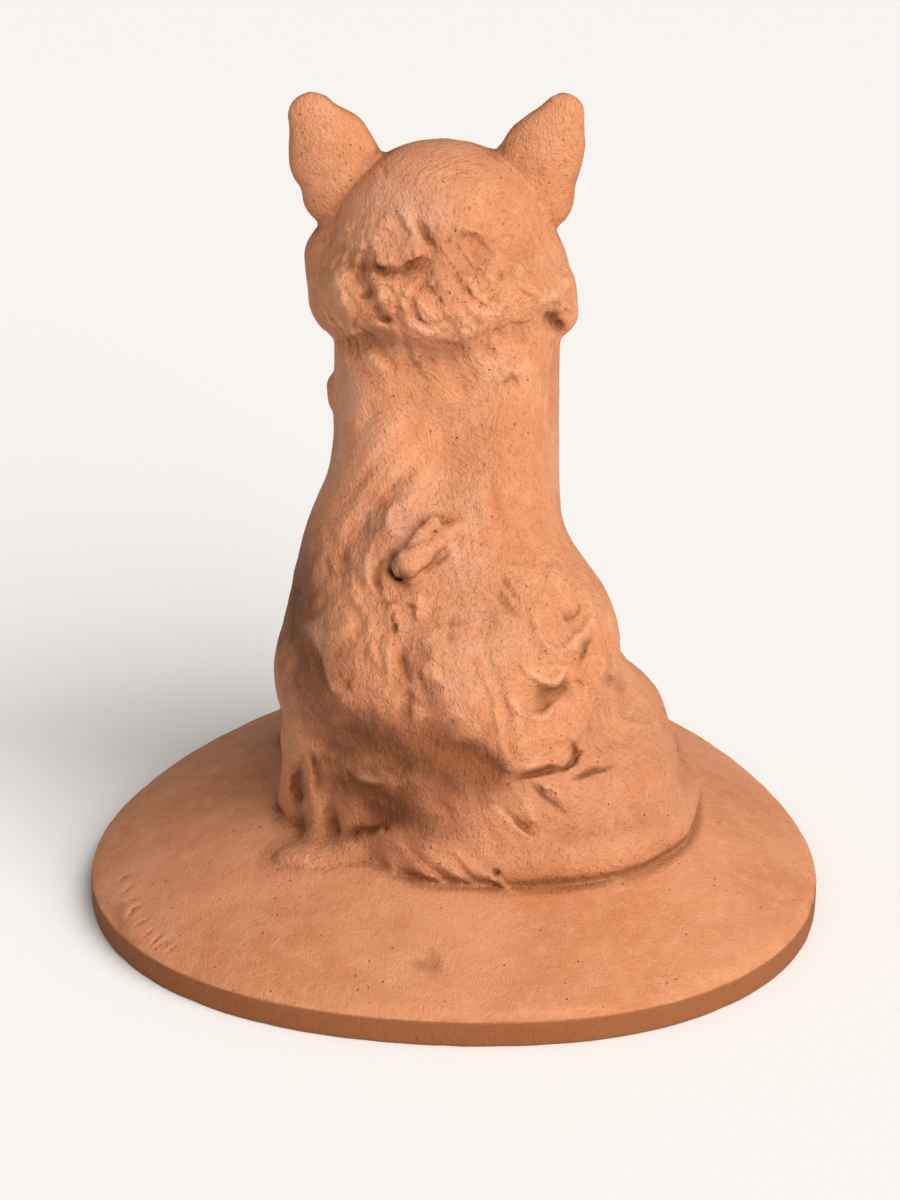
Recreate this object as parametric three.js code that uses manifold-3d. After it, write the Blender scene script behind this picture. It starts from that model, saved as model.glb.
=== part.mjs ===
// A seated cat on a low oval mound, in fired terracotta, one piece.
// Millimetres, +Z up. The cat faces -Y and its tail lies round its right side, at -X.
// The origin is on the underside, in the middle of the oval.

import * as THREE from 'three';
import { mergeVertices } from 'three/addons/utils/BufferGeometryUtils.js';
import Module from 'manifold-3d';

// Driving dimensions: the oval base
const BASE_WIDTH = 350;
const BASE_LENGTH = 420;
const RIM_HEIGHT = 13;
const MOUND_RISE = 50;
const EGG_SHARE = 0.047;
const EGG_TURN = 0.42;
const ARRIS = 1.2;
const BASE_CENTRE = [-2.36, 9.23];
const BASE_SEGMENTS = 72;
const BASE_RINGS = 8;

// Driving dimensions: the cat
const HEAD_X = 6;
const BODY_X = 4;
const HEAD_Z = 311;
const SKULL = [51, 49, 47];
const NECK_RADIUS = 49.5;
const CHEST_DEPTH = 42;
const PAW = [16, 23, 11.5];
const PAW_Y = -76;
const TAIL_RADIUS = 14.5;
const EAR_BASE = 24;
const EAR_TIP = 11;
const EAR_FLATNESS = 0.52;

// Driving dimensions: the fur relief, height of a lock, its width and its length
const RUFF_LOCK = [3.6, 15, 13];
const FLANK_LOCK = [2.4, 22, 17];
const BACK_LOCK = [1.3, 16, 30];
const CHEST_LOCK = [2.6, 17, 20];

// Driving dimensions: the faceting
const CELL = 3.6;
const FIGURE_TRIANGLES = 11000;
const WHOLE_TRIANGLES = 9800;
const SKIRT_REACH = 7;
const SKIRT_DEPTH = 7;
const SKIRT_DROP = 0.6;
const GROUND_BLEND = 5;

// How forms are joined and cut, on signed distances in millimetres

function blend(first, second, width) {
  const overlap = Math.max(width - Math.abs(first - second), 0) / width;
  return Math.min(first, second) - overlap * overlap * width * 0.25;
}

function carve(body, hollow, width) {
  return -blend(-body, hollow, width);
}

function ease(share) {
  const held = THREE.MathUtils.clamp(share, 0, 1);
  return held * held * (3 - 2 * held);
}

// An ellipsoid with a centre, three half sizes and a turn in degrees about X, Y and Z
function ball(centre, size, turn = [0, 0, 0]) {
  const [cx, cy, cz] = centre;
  const [rx, ry, rz] = size;
  const angles = turn.map((angle) => THREE.MathUtils.degToRad(angle));
  const matrix = new THREE.Matrix4().makeRotationFromEuler(new THREE.Euler(...angles, 'ZYX'));
  const m = matrix.elements;
  return (x, y, z) => {
    const dx = x - cx;
    const dy = y - cy;
    const dz = z - cz;
    const px = (dx * m[0] + dy * m[1] + dz * m[2]) / rx;
    const py = (dx * m[4] + dy * m[5] + dz * m[6]) / ry;
    const pz = (dx * m[8] + dy * m[9] + dz * m[10]) / rz;
    const unit = Math.hypot(px, py, pz);
    const slope = Math.hypot(px / rx, py / ry, pz / rz);
    return (unit * (unit - 1)) / Math.max(slope, 1e-6);
  };
}

// A round limb from one point to another, with a radius at each end
function limb(start, end, startRadius, endRadius) {
  const [ax, ay, az] = start;
  const bx = end[0] - ax;
  const by = end[1] - ay;
  const bz = end[2] - az;
  const length2 = bx * bx + by * by + bz * bz;
  const taper = startRadius - endRadius;
  const slant2 = length2 - taper * taper;
  return (x, y, z) => {
    const px = x - ax;
    const py = y - ay;
    const pz = z - az;
    const along = px * bx + py * by + pz * bz;
    const past = along - length2;
    const ox = px * length2 - along * bx;
    const oy = py * length2 - along * by;
    const oz = pz * length2 - along * bz;
    const off2 = ox * ox + oy * oy + oz * oz;
    const along2 = along * along * length2;
    const past2 = past * past * length2;
    const limit = Math.sign(taper) * taper * taper * off2;
    if (Math.sign(past) * slant2 * past2 > limit) {
      return Math.sqrt(off2 + past2) / length2 - endRadius;
    }
    if (Math.sign(along) * slant2 * along2 < limit) {
      return Math.sqrt(off2 + along2) / length2 - startRadius;
    }
    return (Math.sqrt(off2 * slant2 / length2) + along * taper) / length2 - startRadius;
  };
}

// A chain of limbs along a smooth curve, its radius running through the given values
function rope(points, radii, steps, width) {
  const curve = new THREE.CatmullRomCurve3(points.map((p) => new THREE.Vector3(...p)));
  const spots = curve.getSpacedPoints(steps);
  const radiusAt = (share) => {
    const place = share * (radii.length - 1);
    const index = Math.min(Math.floor(place), radii.length - 2);
    return THREE.MathUtils.lerp(radii[index], radii[index + 1], place - index);
  };
  const links = [];
  for (let i = 0; i < steps; i += 1) {
    const ends = [spots[i].toArray(), spots[i + 1].toArray()];
    links.push(limb(...ends, radiusAt(i / steps), radiusAt((i + 1) / steps)));
  }
  return (x, y, z) => links.reduce((sum, link) => blend(sum, link(x, y, z), width), 1e6);
}

// A list of forms, each blended into those before it over its own width
function grow(forms) {
  return (x, y, z) => {
    let sum = 1e6;
    for (const [form, width] of forms) sum = blend(sum, form(x, y, z), width);
    return sum;
  };
}

// Both sides of the body: side is +1 on the cat's left and -1 on its right
function pair(centre, make) {
  return [1, -1].map((side) => make(side, centre));
}

// Torso: neck, shoulder masses with a hollow between them, ribs, belly, rump and chest

const torso = grow([
  [limb([BODY_X + 3, -6, 280], [BODY_X + 3, 2, 216], NECK_RADIUS, NECK_RADIUS), 1],
  [limb([BODY_X - 4, -6, 280], [BODY_X - 4, 4, 200], NECK_RADIUS, NECK_RADIUS), 4],
  [limb([31, 22, 258], [26, 40, 196], 20, 27), 9],
  [limb([-23, 22, 258], [-16, 40, 196], 20, 27), 9],
  [ball([34, 20, 174], [32, 44, 40]), 18],
  [ball([-12, 22, 162], [32, 44, 40]), 18],
  [ball([BODY_X + 5, 42, 146], [69, 60, 60]), 22],
  [ball([-26, 56, 140], [46, 48, 40]), 14],
  [ball([BODY_X + 1, 56, 110], [80, 68, 60]), 20],
  [ball([-8, 84, 76], [62, 50, 44]), 18],
  [ball([BODY_X, -18, 205], [40, CHEST_DEPTH, 60]), 20],
  [ball([BODY_X, -18, 90], [36, 46, 60]), 16],
]);

// Legs: haunches, hind feet, forelegs and paws

const haunches = grow([
  [ball([48, 30, 100], [36, 58, 52]), 1],
  [ball([-60, 30, 76], [45, 66, 41], [0, 0, -6]), 1],
]);

const hindFeet = grow([
  [limb([66, 44, 52], [72, -30, 54], 15, 12), 1],
  [ball([74, -44, 57], [14, 21, 11.5], [0, 0, -5]), 8],
  [limb([-80, 10, 52], [-76, -34, 54], 15, 12), 1],
  [ball([-74, -46, 57], [14, 20, 11.5], [0, 0, 5]), 8],
]);

const forelegs = pair(BODY_X, (side, middle) => {
  const x = middle + side * 23;
  return {
    upper: limb([x + side * 5, -10, 172], [x + side * 6, -30, 122], 24, 19),
    lower: limb([x + side * 2, -34, 165], [x, -63, 76], 22, 13),
    paw: ball([x, PAW_Y, 62], PAW),
  };
});

// Tail: a smooth roll from under the rump, round the right haunch, to the front paws

const TAIL_PATH = [
  [22, 117, 56], [-20, 121, 53], [-50, 118, 52], [-80, 101, 51], [-98, 72, 50],
  [-105, 35, 51], [-102, 0, 52], [-90, -32, 53], [-68, -58, 56],
];
const TAIL_RADII = [1.03, 1.03, 1, 0.97, 0.97, 0.93, 0.86, 0.76, 0.55].map((r) => r * TAIL_RADIUS);
const tail = rope(TAIL_PATH, TAIL_RADII, 24, 4);

// Head: skull, ruff, cheeks, brow, muzzle, chin, eyes and nose

const skull = grow([
  [ball([HEAD_X, -15, HEAD_Z], SKULL), 1],
  [ball([HEAD_X, 4, 293], [57, 49, 29]), 9],
  [limb([46, -20, 302], [49, -20, 282], 20, 22), 12],
  [limb([-34, -20, 298], [-36, -20, 280], 21, 22), 12],
  [ball([HEAD_X, -50, 294], [31, 27, 23]), 12],
  [limb([HEAD_X, -40, 322], [HEAD_X, -72, 299], 23, 11), 14],
  ...pair(HEAD_X, (side, x) => [ball([x + side * 8.5, -73, 286.5], [13.5, 12.5, 10.5]), 6]),
  ...pair(HEAD_X, (side, x) => [limb([x + side * 9, -58, 320], [x + side * 30, -48, 318], 8, 6), 9]),
  ...pair(HEAD_X, (side, x) => [ball([x + side * 24, -52, 292], [15, 14, 14]), 9]),
  [ball([HEAD_X, -68, 276], [13, 12, 9]), 5],
]);

const eyes = pair(HEAD_X, (side, x) => ({
  socket: ball([x + side * 22, -67, 308], [11.5, 9, 7.5], [0, side * 14, side * 26]),
  globe: ball([x + side * 21.5, -54, 307.5], [10, 10, 9]),
}));

const nose = ball([HEAD_X, -85, 293.5], [6, 4.5, 4]);

function head(x, y, z) {
  let sum = skull(x, y, z);
  for (const eye of eyes) {
    sum = carve(sum, eye.socket(x, y, z), 3);
    sum = blend(sum, eye.globe(x, y, z), 1);
  }
  return blend(sum, nose(x, y, z), 3);
}

// Ears: flat rounded cones, hollowed from the front

function ear(side, root, tip, rootRadius, tipRadius) {
  const [, pivot] = root;
  const cone = limb(root, tip, rootRadius, tipRadius);
  const scoopRoot = [root[0] + side * 2, pivot - 23, root[2] + 2];
  const scoopTip = [tip[0] - side, pivot - 16, tip[2] - 4];
  const scoop = limb(scoopRoot, scoopTip, rootRadius * 0.82, tipRadius * 0.62);
  return (x, y, z) => {
    const shell = cone(x, (y - pivot) / EAR_FLATNESS + pivot, z) * 0.6;
    const hollow = scoop(x, (y - pivot) / 0.8 + pivot, z) * 0.85;
    return carve(shell, hollow, 3);
  };
}

const ears = [
  ear(1, [48, -18, 335], [66, -14, 369.5], EAR_BASE, EAR_TIP),
  ear(-1, [-34, -18, 335], [-51.5, -14, 370.5], EAR_BASE - 1, EAR_TIP - 1.5),
];

// Fur: rows of overlapping locks, each rising to a rounded lower edge and then dropping,
// bent by slow waves so that no two rows run alike

function wave(x, y, z, size, seed) {
  const turn = (2 * Math.PI) / size;
  const a = Math.sin(x * turn + 1.3 * Math.sin(y * turn * 0.83 + seed) + seed * 1.7);
  const b = Math.sin(y * turn + 1.1 * Math.sin(z * turn * 0.91 + seed * 2.3) + seed * 0.9);
  const c = Math.sin(z * turn + 1.2 * Math.sin(x * turn * 0.77 + seed * 3.1) + seed * 2.9);
  return (a + b + c) / 3;
}

function within(x, y, z, centre, reach, edge) {
  const parts = [(x - centre[0]) / reach[0], (y - centre[1]) / reach[1], (z - centre[2]) / reach[2]];
  return ease((1 - Math.hypot(...parts)) / edge);
}

function locks(across, down, width, length) {
  const row = Math.floor(down / length);
  const place = across / width + 0.5 * row + 0.23 * Math.sin(2.4 * row);
  const off = place - Math.floor(place) - 0.5;
  const curved = down / length - 0.5 * (1 - 4 * off * off);
  const share = curved - Math.floor(curved);
  const ramp = share < 0.82 ? share / 0.82 : (1 - share) / 0.18;
  return ramp * (0.55 + 0.45 * Math.cos(2 * Math.PI * off));
}

function fur(x, y, z) {
  const broad = wave(x, y, z, 46, 1);
  const middle = wave(x, y, z, 38, 2);
  const small = wave(x, y, z, 19, 4);
  let height = 0;
  const ruff = within(x, y, z, [HEAD_X, 14, 296], [80, 62, 46], 0.5) * ease((y + 22) / 20);
  if (ruff > 0) {
    const across = 56 * Math.atan2(x - HEAD_X, y + 12) + 9 * broad + 3 * small - 0.25 * (z - 290);
    const down = 290 - z + 7 * middle + 2.5 * small;
    height += RUFF_LOCK[0] * ruff * (locks(across, down, RUFF_LOCK[1], RUFF_LOCK[2]) - 0.35);
  }
  const flank = within(x, y, z, [-40, 70, 120], [60, 80, 62], 0.5);
  if (flank > 0) {
    const across = 0.75 * x + 0.5 * z + 8 * broad;
    const down = 0.55 * x - 0.8 * z + 7 * middle;
    height += FLANK_LOCK[0] * flank * (locks(across, down, FLANK_LOCK[1], FLANK_LOCK[2]) - 0.4);
  }
  const back = within(x, y, z, [35, 80, 150], [60, 70, 100], 0.6) * ease((y + 5) / 20);
  if (back > 0) {
    const across = 0.8 * x - 0.5 * z + 8 * middle;
    const down = -0.6 * (z + x) + 8 * broad;
    height += BACK_LOCK[0] * back * (locks(across, down, BACK_LOCK[1], BACK_LOCK[2]) - 0.4);
  }
  const chest = within(x, y, z, [BODY_X + 1, -52, 215], [52, 40, 62], 0.5) * ease((-y - 6) / 20);
  if (chest > 0) {
    const across = x + 6 * broad;
    const down = -z + 6 * middle - 0.02 * (x - BODY_X) * (x - BODY_X);
    height += CHEST_LOCK[0] * chest * (locks(across, down, CHEST_LOCK[1], CHEST_LOCK[2]) - 0.4);
  }
  return height;
}

// Hand marks: rolls and lips of clay laid on, and hollows pressed in, each from a start to
// an end point with its two radii

const PELLET = [[2, 77, 199], [21, 93, 184], 5.8, 7];

const LIPS = [
  [[-37, 99, 156], [-48, 98, 147], 4, 4.5],
  [[-48, 98, 147], [-63, 84, 149], 4.5, 2.5],
  [[-34, 108, 138], [-50, 103, 134], 4, 3],
  [[-26, 113, 131], [-36, 112, 121], 4, 4],
  [[-36, 112, 121], [-46, 106, 121], 4, 2.5],
  [[-58, 84, 164], [-62, 82, 154], 3.5, 2],
  [[-4, 29, 325], [-17, 30, 322], 3, 2.5],
  [[54, -5, 241], [54, -3, 235], 7, 6],
  [[-34, 122, 103], [-57, 105, 108], 6, 5],
];

const HOLLOWS = [
  [[25, 95, 177], [22, 99, 169], 4.2, 2.2],
  [[9, 62, 215], [28, 84, 194], 4, 5],
  [[26, 70, 212], [48, 79, 188], 4, 5],
  [[-34, 127, 94], [-56, 112, 97], 3.5, 6],
  [[-56, 112, 97], [-76, 94, 85], 5, 3],
  [[-40, 103, 147], [-52, 101, 141], 2.5, 2.5],
  [[-36, 112, 131], [-50, 106, 128], 2.5, 2],
  [[66, 98, 46], [30, 137, 40], 13, 11],
  [[76, 60, 56], [74, 56, 50], 4.5, 4],
  [[63, 103, 102], [64, 84, 68], 2.5, 3],
  [[48, 115, 90], [46, 116, 86], 3.5, 3],
  [[6, 58, 258], [5, 60, 226], 5, 3],
];

// Locks of fur that fan out from the root of the tail onto the mound
const FRINGE_LOCKS = 6;
const fringe = Array.from({ length: FRINGE_LOCKS }, (_, i) => {
  const start = [16 - 9 * i, 127, 67 - i];
  const end = [22 - 11 * i, 137 - 0.4 * i, 45 - 0.5 * i];
  return [start, end, 5, 2.2];
});

const laidOn = grow([PELLET, ...LIPS, ...fringe].map((mark) => [limb(...mark), 2]));
const pressedIn = grow(HOLLOWS.map((mark) => [limb(...mark), 2]));

// The whole cat

function cat(x, y, z) {
  let sum = torso(x, y, z);
  sum = blend(sum, haunches(x, y, z), 10);
  sum = blend(sum, hindFeet(x, y, z), 8);
  for (const leg of forelegs) {
    sum = blend(sum, leg.upper(x, y, z), 14);
    sum = blend(sum, leg.lower(x, y, z), 9);
    sum = blend(sum, leg.paw(x, y, z), 6);
  }
  sum = blend(sum, tail(x, y, z), 5);
  sum = blend(sum, head(x, y, z), 5);
  if (Math.abs(sum) < 14) {
    sum = blend(sum - fur(x, y, z), laidOn(x, y, z), 3);
    sum = carve(sum, pressedIn(x, y, z), 3);
  }
  for (const side of ears) sum = blend(sum, side(x, y, z), 6);
  return sum;
}

// The base: an egg-shaped oval with a low rim and a mound that rises to its middle

function eggRadius(angle) {
  return 1 - EGG_SHARE * Math.cos(3 * (Math.PI + angle - EGG_TURN));
}

function moundHeight(x, y) {
  const across = (x - BASE_CENTRE[0]) / (BASE_WIDTH / 2);
  const along = (y - BASE_CENTRE[1]) / (BASE_LENGTH / 2);
  const radius = Math.hypot(across, along) / eggRadius(Math.atan2(along, across));
  return RIM_HEIGHT + MOUND_RISE * (1 - radius * radius);
}

function baseGeometry() {
  const worn = ARRIS / (BASE_WIDTH / 2);
  const profile = [new THREE.Vector2(0, 0), new THREE.Vector2(1 - worn, 0)];
  profile.push(new THREE.Vector2(1, ARRIS), new THREE.Vector2(1, RIM_HEIGHT - ARRIS));
  for (let ring = 0; ring <= BASE_RINGS; ring += 1) {
    const radius = (1 - worn) * Math.sqrt(1 - ring / BASE_RINGS);
    const height = RIM_HEIGHT + MOUND_RISE * (1 - radius * radius);
    profile.push(new THREE.Vector2(radius, height));
  }
  const geometry = new THREE.LatheGeometry(profile, BASE_SEGMENTS);
  geometry.rotateX(Math.PI / 2);
  const position = geometry.getAttribute('position');
  for (let i = 0; i < position.count; i += 1) {
    const radius = eggRadius(Math.atan2(position.getY(i), position.getX(i)));
    const x = position.getX(i) * radius * BASE_WIDTH / 2 + BASE_CENTRE[0];
    const y = position.getY(i) * radius * BASE_LENGTH / 2 + BASE_CENTRE[1];
    position.setXY(i, x, y);
  }
  return geometry;
}

// The cat and the strip of ground it is blended into, cut off just inside the mound

function catOnGround(x, y, z) {
  const ground = moundHeight(x, y) - SKIRT_DROP;
  const figure = cat(x, y, z);
  const joined = blend(figure, (z - ground) * 0.9, GROUND_BLEND);
  return Math.max(joined, figure - SKIRT_REACH, ground - SKIRT_DEPTH - z);
}

// Faceting: the zero surface of a field, as one vertex in each grid cell that it crosses

function sampleGrid(field, low, counts) {
  const [nx, ny, nz] = counts;
  const values = new Float32Array(nx * ny * nz);
  let index = 0;
  for (let k = 0; k < nz; k += 1) {
    for (let j = 0; j < ny; j += 1) {
      for (let i = 0; i < nx; i += 1) {
        values[index] = field(low[0] + i * CELL, low[1] + j * CELL, low[2] + k * CELL);
        index += 1;
      }
    }
  }
  return values;
}

function polygonise(field, low, high) {
  const counts = low.map((value, axis) => Math.ceil((high[axis] - value) / CELL) + 1);
  const values = sampleGrid(field, low, counts);
  const strides = [1, counts[0], counts[0] * counts[1]];
  const corners = [];
  for (let c = 0; c < 8; c += 1) corners.push([c & 1, (c >> 1) & 1, c >> 2]);
  const offsets = corners.map((corner) => corner.reduce((sum, bit, axis) => sum + bit * strides[axis], 0));
  const cellVertex = new Map();
  const points = [];
  const crossing = new THREE.Vector3();
  for (let k = 0; k < counts[2] - 1; k += 1) {
    for (let j = 0; j < counts[1] - 1; j += 1) {
      for (let i = 0; i < counts[0] - 1; i += 1) {
        const origin = i + j * strides[1] + k * strides[2];
        const sum = new THREE.Vector3();
        let crossings = 0;
        for (let c = 0; c < 8; c += 1) {
          for (let axis = 0; axis < 3; axis += 1) {
            const start = values[origin + offsets[c]];
            const end = corners[c][axis] ? start : values[origin + offsets[c] + strides[axis]];
            if (start < 0 !== end < 0) {
              crossing.fromArray(corners[c]);
              crossing.setComponent(axis, start / (start - end));
              sum.add(crossing);
              crossings += 1;
            }
          }
        }
        if (crossings > 0) {
          sum.divideScalar(crossings).add(new THREE.Vector3(i, j, k)).multiplyScalar(CELL);
          cellVertex.set(origin, points.length);
          points.push(sum.add(new THREE.Vector3(...low)));
        }
      }
    }
  }
  const triangles = [];
  for (const origin of cellVertex.keys()) {
    for (let axis = 0; axis < 3; axis += 1) {
      const start = values[origin];
      const end = values[origin + strides[axis]];
      if (start < 0 === end < 0) continue;
      const side = strides[(axis + 1) % 3];
      const rise = strides[(axis + 2) % 3];
      const ring = [0, side, side + rise, rise].map((step) => cellVertex.get(origin - step));
      if (start > 0) ring.reverse();
      const [a, b, c, d] = ring;
      const split = points[a].distanceTo(points[c]) < points[b].distanceTo(points[d]);
      if (split) triangles.push([a, b, c], [a, c, d]);
      else triangles.push([a, b, d], [b, c, d]);
    }
  }
  return { points, triangles };
}

// The largest connected surface: small pockets shut in between the forms are left filled

function outerSurface(points, triangles) {
  const parent = [...points.keys()];
  const rootOf = (p) => {
    let root = p;
    while (parent[root] !== root) root = parent[root];
    parent[p] = root;
    return root;
  };
  for (const [a, b, c] of triangles) {
    parent[rootOf(b)] = rootOf(a);
    parent[rootOf(c)] = rootOf(a);
  }
  const sizes = new Map();
  for (const [a] of triangles) sizes.set(rootOf(a), (sizes.get(rootOf(a)) ?? 0) + 1);
  const [largest] = [...sizes].sort((first, second) => second[1] - first[1])[0];
  return triangles.filter(([a]) => rootOf(a) === largest);
}

// Each point slides along the field's slope until it lies on the zero surface

function settle(field, points) {
  const step = 0.3;
  for (const point of points) {
    for (let round = 0; round < 3; round += 1) {
      const { x, y, z } = point;
      const slope = new THREE.Vector3(
        field(x + step, y, z) - field(x - step, y, z),
        field(x, y + step, z) - field(x, y - step, z),
        field(x, y, z + step) - field(x, y, z - step),
      ).divideScalar(2 * step);
      const reach = THREE.MathUtils.clamp(field(x, y, z), -CELL / 4, CELL / 4);
      point.addScaledVector(slope, -reach / Math.max(slope.lengthSq(), 0.3));
    }
  }
}

// Thinning: edges are drawn together, the flattest places first, while the surface stays
// closed and no triangle turns over, so that detail keeps the triangles

function planeQuadric(a, b, c) {
  const normal = new THREE.Vector3().crossVectors(b.clone().sub(a), c.clone().sub(a));
  const area = normal.length();
  normal.divideScalar(Math.max(area, 1e-12));
  const plane = [normal.x, normal.y, normal.z, -normal.dot(a)];
  const quadric = [];
  for (let i = 0; i < 4; i += 1) {
    for (let j = i; j < 4; j += 1) quadric.push(plane[i] * plane[j] * area);
  }
  return quadric;
}

function quadricError(q, { x, y, z }) {
  const square = q[0] * x * x + q[4] * y * y + q[7] * z * z + q[9];
  return square + 2 * (q[1] * x * y + q[2] * x * z + q[3] * x + q[5] * y * z + q[6] * y + q[8] * z);
}

function thin(points, triangles, target) {
  const fans = points.map(() => new Set());
  const quadrics = points.map(() => new Array(10).fill(0));
  const live = new Set(triangles.keys());
  for (const [index, triangle] of triangles.entries()) {
    const quadric = planeQuadric(...triangle.map((p) => points[p]));
    for (const p of triangle) {
      fans[p].add(index);
      for (let i = 0; i < 10; i += 1) quadrics[p][i] += quadric[i];
    }
  }
  const neighbours = (p) => new Set([...fans[p]].flatMap((t) => triangles[t]).filter((n) => n !== p));
  const turnsOver = (p, spot, kept) => [...fans[p]].some((t) => {
    if (triangles[t].includes(kept)) return false;
    const before = triangles[t].map((n) => points[n]);
    const after = triangles[t].map((n) => (n === p ? spot : points[n]));
    const facing = (c) => new THREE.Vector3().crossVectors(c[1].clone().sub(c[0]), c[2].clone().sub(c[0]));
    const [old, fresh] = [facing(before), facing(after)];
    return fresh.length() < 0.4 || old.normalize().dot(fresh.normalize()) < 0.3;
  });
  while (live.size > target) {
    const edges = [];
    for (const t of live) {
      for (let i = 0; i < 3; i += 1) {
        const a = triangles[t][i];
        const b = triangles[t][(i + 1) % 3];
        if (a > b) continue;
        const joined = quadrics[a].map((value, n) => value + quadrics[b][n]);
        const middle = points[a].clone().add(points[b]).multiplyScalar(0.5);
        const spots = [middle, points[a], points[b]];
        const errors = spots.map((spot) => quadricError(joined, spot));
        const best = errors.indexOf(Math.min(...errors));
        const length = points[a].distanceTo(points[b]);
        edges.push({ a, b, joined, spot: spots[best].clone(), cost: errors[best] + 0.0004 * length ** 3 });
      }
    }
    edges.sort((first, second) => first.cost - second.cost);
    const touched = new Set();
    let drawn = 0;
    for (const { a, b, joined, spot } of edges.slice(0, Math.ceil(edges.length / 4))) {
      if (live.size <= target) break;
      if (touched.has(a) || touched.has(b)) continue;
      const around = neighbours(a);
      const beyond = neighbours(b);
      const shared = [...around].filter((n) => beyond.has(n));
      if (shared.length !== 2) continue;
      if (turnsOver(a, spot, b) || turnsOver(b, spot, a)) continue;
      points[a].copy(spot);
      quadrics[a] = joined;
      for (const t of fans[b]) {
        if (triangles[t].includes(a)) {
          live.delete(t);
          for (const n of triangles[t]) if (n !== b) fans[n].delete(t);
        } else {
          triangles[t] = triangles[t].map((n) => (n === b ? a : n));
          fans[a].add(t);
        }
      }
      fans[b].clear();
      for (const n of [a, b, ...around, ...beyond]) touched.add(n);
      drawn += 1;
    }
    if (drawn === 0) break;
  }
  return [...live].map((t) => triangles[t]);
}

// Solids: meshes with shared corners, joined into one body

const wasm = await Module();
wasm.setup();

function solidOf(geometry) {
  const bare = geometry.clone();
  bare.deleteAttribute('normal');
  bare.deleteAttribute('uv');
  const merged = mergeVertices(bare, 1e-4);
  const vertProperties = new Float32Array(merged.getAttribute('position').array);
  const triVerts = new Uint32Array(merged.getIndex().array);
  return new wasm.Manifold(new wasm.Mesh({ numProp: 3, vertProperties, triVerts }));
}

function geometryOf(points, triangles) {
  const geometry = new THREE.BufferGeometry().setFromPoints(points);
  geometry.setIndex(triangles.flat());
  geometry.computeVertexNormals();
  return geometry;
}

// The joined body is thinned once more, which also draws in the slivers along the seam
function wholeGeometry(solid) {
  const { vertProperties, triVerts } = solid.getMesh();
  const points = [];
  for (let i = 0; i < vertProperties.length; i += 3) {
    points.push(new THREE.Vector3().fromArray(vertProperties, i));
  }
  const triangles = [];
  for (let i = 0; i < triVerts.length; i += 3) triangles.push([...triVerts.slice(i, i + 3)]);
  return geometryOf(points, thin(points, triangles, WHOLE_TRIANGLES));
}

function figureGeometry() {
  const low = [-128, -112, RIM_HEIGHT];
  const high = [104, 152, 392];
  const { points, triangles } = polygonise(catOnGround, low, high);
  settle(catOnGround, points);
  const kept = thin(points, outerSurface(points, triangles), FIGURE_TRIANGLES);
  return geometryOf(points, kept);
}

const terracotta = new THREE.MeshStandardMaterial({ color: 0xc9855c, roughness: 0.82, metalness: 0 });
const whole = solidOf(baseGeometry()).add(solidOf(figureGeometry()));
const figurine = new THREE.Mesh(wholeGeometry(whole), terracotta);
figurine.name = 'cat_figurine';

const group = new THREE.Group();
group.add(figurine);

export default group;
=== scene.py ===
"""A seated cat on a low oval mound, hand-modelled and fired in one piece of terracotta.

The cat faces -Y and the photograph looks at its back from +Y. The forms are round masses like
the CAD solid's, joined by soft blends, with cheeks, haunches and trunk a few millimetres fuller.
This script gives them their fine surface: locks of fur, thumb dabs, comb strokes, pits, chips on
the rim and the colour of fired clay.
"""

import math

import bpy
import numpy as np
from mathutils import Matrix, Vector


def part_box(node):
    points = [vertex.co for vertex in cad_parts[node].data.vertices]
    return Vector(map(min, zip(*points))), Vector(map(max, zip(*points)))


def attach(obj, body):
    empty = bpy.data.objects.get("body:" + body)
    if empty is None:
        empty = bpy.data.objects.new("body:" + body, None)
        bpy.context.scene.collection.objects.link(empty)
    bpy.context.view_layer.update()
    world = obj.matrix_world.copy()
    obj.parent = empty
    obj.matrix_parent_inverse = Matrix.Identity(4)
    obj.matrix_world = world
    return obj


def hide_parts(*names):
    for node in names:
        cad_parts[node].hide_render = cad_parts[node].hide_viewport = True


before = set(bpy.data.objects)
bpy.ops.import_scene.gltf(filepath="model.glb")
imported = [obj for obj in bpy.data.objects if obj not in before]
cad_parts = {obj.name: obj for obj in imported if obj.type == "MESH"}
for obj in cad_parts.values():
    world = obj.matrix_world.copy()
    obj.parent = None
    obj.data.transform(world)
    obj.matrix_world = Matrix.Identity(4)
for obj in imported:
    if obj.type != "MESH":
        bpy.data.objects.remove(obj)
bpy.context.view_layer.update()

bl_info = {
    "name": "Terracotta Cat Figurine",
    "version": (1, 0, 0),
    "blender": (4, 5, 0),
    "location": "View3D > Sidebar > Terracotta Cat",
    "description": "Models a seated terracotta cat on an oval mound, with its stage",
    "category": "Add Mesh",
}

NODE = "cat_figurine"

# The forms are worked out in millimetres of a figure 380.4 mm high. MM turns them to metres,
# from the height that the frame gives.
FIGURE_HEIGHT = 380.4
MM = (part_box(NODE)[1][2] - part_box(NODE)[0][2]) / FIGURE_HEIGHT

# Base: an egg-shaped oval with a low rim and a mound
BASE_WIDTH = 350.0
BASE_LENGTH = 420.0
BASE_CENTRE = (-2.36, 9.23)
RIM_HEIGHT = 13.0
MOUND_RISE = 50.0
EGG_SHARE = 0.047
EGG_TURN = 0.42

# Cat
HEAD_X = 6.0
BODY_X = 4.0
NECK_RADIUS = 49.5
TAIL_RADIUS = 14.5
GROUND_BLEND = 3.2
SKIRT_REACH = 6.0
SKIRT_DEPTH = 5.0
SKIRT_DROP = 1.3

# Camera, as fitted to the outline of the base and of the cat
CAMERA_PLACE = (1.5, 1525.2, 685.0)
CAMERA_TILT = 19.86
CAMERA_LENS = 100.0


# Signed distances in millimetres, as whole arrays

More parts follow.
